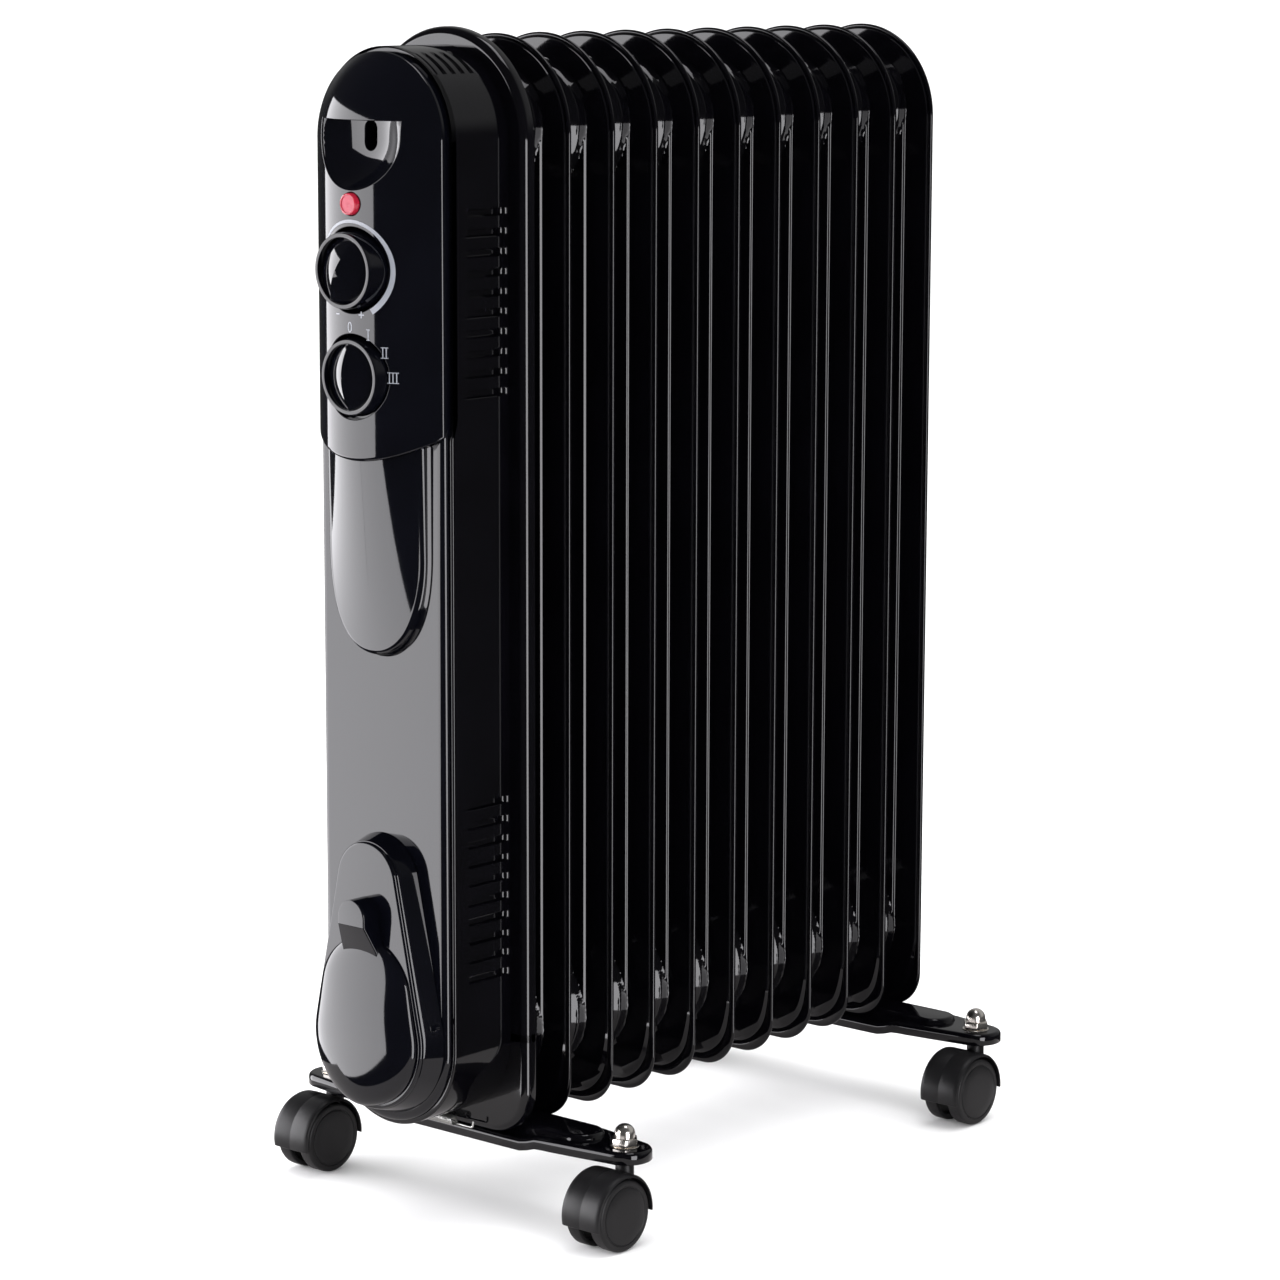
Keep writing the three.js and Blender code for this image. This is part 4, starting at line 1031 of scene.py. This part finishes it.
def fastener(place_name):
    """A caster's cap nut with its washer, and the stud below it with its hex flange."""
    low, high = node_box(f"nut_{place_name}")
    x, y = (low[0] + high[0]) / 2, (low[1] + high[1]) / 2
    base = low[2]
    turn = 12.0
    hexed = []
    for r, z in [(6.6, 0), (7.3, 0.45), (7.4, 0.8), (7.4, 3.9), (7.2, 4.3), (6.4, 4.6)]:
        hexed.append(at_z(hexagon(r, turn) + [x, y], base + z))
    dome = [(5.5, base + 4.2), (5.5, base + 6.2)]
    for a in np.radians(np.linspace(0, 88, 16)):
        dome.append((5.5 * math.cos(a), base + 6.2 + 5.5 * math.sin(a)))
    washer = lathe([(4.2, -0.25), (7.4, -0.25), (7.6, -0.1), (7.4, 0.1), (4.2, 0.1)], 40, "z", (x, y, base))
    shape = join(loft(hexed), lathe(dome, 40, "z", (x, y, 0)), washer)
    build(f"cap_nut_{place_name}", shape, NICKEL, replaces=[f"nut_{place_name}"], sharp=30)
    low, high = node_box(f"stud_{place_name}")
    seat = node_box("foot_front")[0][2] + FOOT_RISE
    flange_rings = [(5.6, 0.1), (6.0, 0.5), (6.0, 3.2), (5.6, 3.6)]
    flange = [at_z(hexagon(r, 0) + [x, y], seat + z) for r, z in flange_rings]
    shank = [(2.2, low[2]), (2.4, low[2] + 0.4), (2.4, seat + 1.4), (3.6, seat + 1.5)]
    for i in range(7):
        z = seat + 3.2 + i * 1.2
        shank += [(3.9, z), (3.3, z + 0.6)]
    shank += [(3.6, high[2] - 0.2), (3.0, high[2])]
    shape = join(loft(flange), lathe(shank, 32, "z", (x, y, 0)))
    build(f"stud_{place_name}_turned", shape, ZINC, replaces=[f"stud_{place_name}"], sharp=35)


def hood(place_name):
    """A caster's fender, web and stud collar; gives back where its axle is."""
    node = f"hood_{place_name}"
    low, high = node_box(node)
    x, reach = (low[0] + high[0]) / 2, (high[0] - low[0]) / 2
    axle_low, axle_high = node_box(f"axle_{place_name}")
    yc, zc = (axle_low[1] + axle_high[1]) / 2, (axle_low[2] + axle_high[2]) / 2
    outer, inner = 22.0, 20.4
    half = [(0.18, outer - 0.02), (0.35, outer + 0.04), (reach - 3, outer), (reach - 1.3, outer - 0.1)]
    half += [(reach - 0.35, outer - 0.7), (reach, outer - 1.7), (reach, inner - 0.1), (reach - 0.6, inner)]
    section = np.array([(-across, r) for across, r in reversed(half)] + half)

    def slice_at(angle, shrink=0.0):
        a = math.radians(angle)
        middle = section[:, 1].mean()
        r = middle + (section[:, 1] - middle) * (1 - shrink)
        across = x + section[:, 0] * (1 - shrink * 0.05)
        return np.stack([across, yc + r * math.cos(a), zc + r * math.sin(a)], 1)

    angles = np.linspace(-3, 191, 66)
    fender = loft([slice_at(-4, 0.5), *[slice_at(a) for a in angles], slice_at(192, 0.5)])
    web_side = np.concatenate([arc(yc, zc, outer - 0.5, 0, 190, 40), arc(yc, zc, 12.5, 190, 360, 20)])
    web = []
    for s, w in [(0.5, -3.6), (0.0, -3.1), (0.0, 3.1), (0.5, 3.6)]:
        middle = np.array([yc, zc])
        shrunk = middle + (web_side - middle) * (1 - s / 20)
        web.append(np.stack([np.full(len(shrunk), x + w), shrunk[:, 0], shrunk[:, 1]], 1))
    stud_low, stud_high = node_box(f"stud_{place_name}")
    stem_y = (stud_low[1] + stud_high[1]) / 2
    collar = [(4.2, 31), (4.9, 31.5), (4.9, 43.6), (4.5, 44.2), (2.8, 44.3), (2.8, 38)]
    shape = join(fender, loft(web), lathe(collar, 40, "z", (x, stem_y, 0)))
    body = f"caster_{place_name}"
    build(f"{node}_moulding", shape, NYLON, body=body, replaces=[node], sharp=38)
    return x, yc, zc


def wheel(place_name, side_name, x, yc, zc):
    """One wheel, with a stepped outer face; its profile runs from the hub out and back in."""
    node = f"wheel_{place_name}_{side_name}"
    low, high = node_box(node)
    outwards = 1 if (low[0] + high[0]) / 2 > x else -1
    inner, rim_x = 4.1, 13.0
    profile = [(2.3, inner), (5.5, inner), (5.6, rim_x - 4), (15.6, rim_x - 4), (16.2, inner + 0.4)]
    profile += [(16.6, inner), (18.2, inner), (18.7, inner + 0.25), (19.0, inner + 0.8), (19.0, rim_x - 2.4)]
    for a in np.radians(np.linspace(0, 80, 6)):
        profile.append((17.4 + 1.6 * math.cos(a), rim_x - 2.1 + 1.5 * math.sin(a)))
    face = [(16.9, 0.6), (16.0, 0.62), (15.6, 0.95), (15.2, 0.95), (14.9, 0.55), (14.2, 0.35)]
    face += [(10, 0.2), (5, 0.12), (0.2, 0.1)]
    profile += [(r, rim_x - sunk) for r, sunk in face]
    profile = [(r, outwards * h) for r, h in profile]
    shape = lathe(profile, 72, "x", (x, yc, zc))
    build(f"{node}_moulding", shape, NYLON, body=node, replaces=[node], sharp=30)


CORNERS = ("front_left", "front_right", "rear_left", "rear_right")
for corner in CORNERS:
    fastener(corner)
    centre = hood(corner)
    wheel(corner, "outer", *centre)
    wheel(corner, "inner", *centre)

# ---- looks of the CAD pieces that stay ----
FINISH = {
    "element_flange": BRASS,
    "element_upper": STEEL,
    "element_lower": STEEL,
    "filler_plug": STEEL,
    "thermostat_body": RESIN,
    "switch_body": RESIN,
    "lamp_holder": RESIN,
    "carrier_plate": ZINC,
    "terminal_block": RESIN,
    "tip_over_switch": NYLON,
    "thermal_cutout": ZINC,
}
for corner in CORNERS:
    FINISH[f"axle_{corner}"] = STEEL
for name, material in FINISH.items():
    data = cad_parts[name].data
    data.materials.clear()
    data.materials.append(material)

# ---- stage, light and camera ----
scene = bpy.context.scene
scene.view_settings.view_transform = "Standard"


def ground(name, material, x0, x1, y0, y1, z):
    """A flat piece of ground, which isn't part of the object."""
    mesh = bpy.data.meshes.new(name)
    mesh.from_pydata([(x0, y0, z), (x1, y0, z), (x1, y1, z), (x0, y1, z)], [], [(0, 1, 2, 3)])
    mesh.materials.append(material)
    plane = bpy.data.objects.new(name, mesh)
    scene.collection.objects.link(plane)
    return plane


# the studio is dark beyond the table, so only the table close by shows in the gloss
room_floor = ground("room_floor", FLOOR, -60, 60, -60, 60, -0.0006)
room_floor.visible_glossy = False
table = ground("table", TABLE, -0.25, 0.22, -0.34, 0.30, -0.0004)
table.visible_camera = False
table.visible_diffuse = False
table.visible_shadow = False

world = bpy.data.worlds.new("studio")
world.use_nodes = True
world_nodes = world.node_tree.nodes
links = world.node_tree.links


def world_node(kind, **values):
    """A node of the world's shader with some of its inputs set."""
    node = world_nodes.new(kind)
    for key, value in values.items():
        node.inputs[key.replace("_", " ")].default_value = value
    return node


# gloss sees a dark room with a dim white wall behind the object; everything else sees white
heading = world_nodes.new("ShaderNodeTexCoord")
split = world_nodes.new("ShaderNodeSeparateXYZ")
links.new(heading.outputs["Generated"], split.inputs["Vector"])
upward = world_node("ShaderNodeMapRange", From_Min=0.02, From_Max=0.30)
upward.interpolation_type = "SMOOTHSTEP"
links.new(split.outputs["Z"], upward.inputs["Value"])
backward = world_node("ShaderNodeMapRange", From_Min=0.0, From_Max=0.6, To_Min=0.0, To_Max=0.30)
backward.interpolation_type = "SMOOTHSTEP"
links.new(split.outputs["Y"], backward.inputs["Value"])
glow = world_nodes.new("ShaderNodeMath")
glow.operation = "MULTIPLY_ADD"
glow.inputs[2].default_value = 0.05
links.new(upward.outputs["Result"], glow.inputs[0])
links.new(backward.outputs["Result"], glow.inputs[1])
path = world_nodes.new("ShaderNodeLightPath")
level = world_node("ShaderNodeMapRange", To_Min=1.15)
links.new(path.outputs["Is Glossy Ray"], level.inputs["Value"])
links.new(glow.outputs["Value"], level.inputs["To Max"])
links.new(level.outputs["Result"], world_nodes["Background"].inputs["Strength"])
world_nodes["Background"].inputs["Color"].default_value = (1, 1, 1, 1)
scene.world = world


def softbox(name, azimuth, elevation, distance, width, height, radiance, target):
    """A rectangular light; azimuth 0 stands on the -Y side and 90 on the +X side."""
    light = bpy.data.lights.new(name, "AREA")
    light.shape = "RECTANGLE"
    light.size = width
    light.size_y = height
    light.energy = radiance * width * height * math.pi
    light.color = (0.975, 0.965, 1.0)
    lamp = bpy.data.objects.new(name, light)
    a, e = math.radians(azimuth), math.radians(elevation)
    away = Vector((math.sin(a) * math.cos(e), -math.cos(a) * math.cos(e), math.sin(e)))
    lamp.location = target + away * distance
    lamp.rotation_mode = "QUATERNION"
    lamp.rotation_quaternion = away.to_track_quat("Z", "Y")
    lamp.visible_camera = False
    scene.collection.objects.link(lamp)
    return lamp


softbox("left_softbox", -53.5, 0, 1.7, 2.7, 1.7, 6.2, place((0, -100, 290)))
softbox("right_softbox", 73, 0, 1.2, 0.5, 1.1, 8, place((30, 60, 10)))
softbox("top_softbox", 150, 78, 1.3, 0.9, 0.5, 3.5, place((0, 50, 600)))
sun = bpy.data.lights.new("overhead", "SUN")
sun.energy = 1.2
sun.angle = math.radians(60)
top_light = bpy.data.objects.new("overhead", sun)
top_light.visible_glossy = False
scene.collection.objects.link(top_light)

camera_data = bpy.data.cameras.new("camera")
camera_data.sensor_width = 36
camera_data.lens = 115.5863
camera_data.clip_end = 200
camera = bpy.data.objects.new("camera", camera_data)
camera.location = place((1452.38, -1566.30, 673.37))
camera.rotation_euler = [math.radians(turn) for turn in (80.1417, -0.1637, 40.869)]
scene.collection.objects.link(camera)
scene.camera = camera
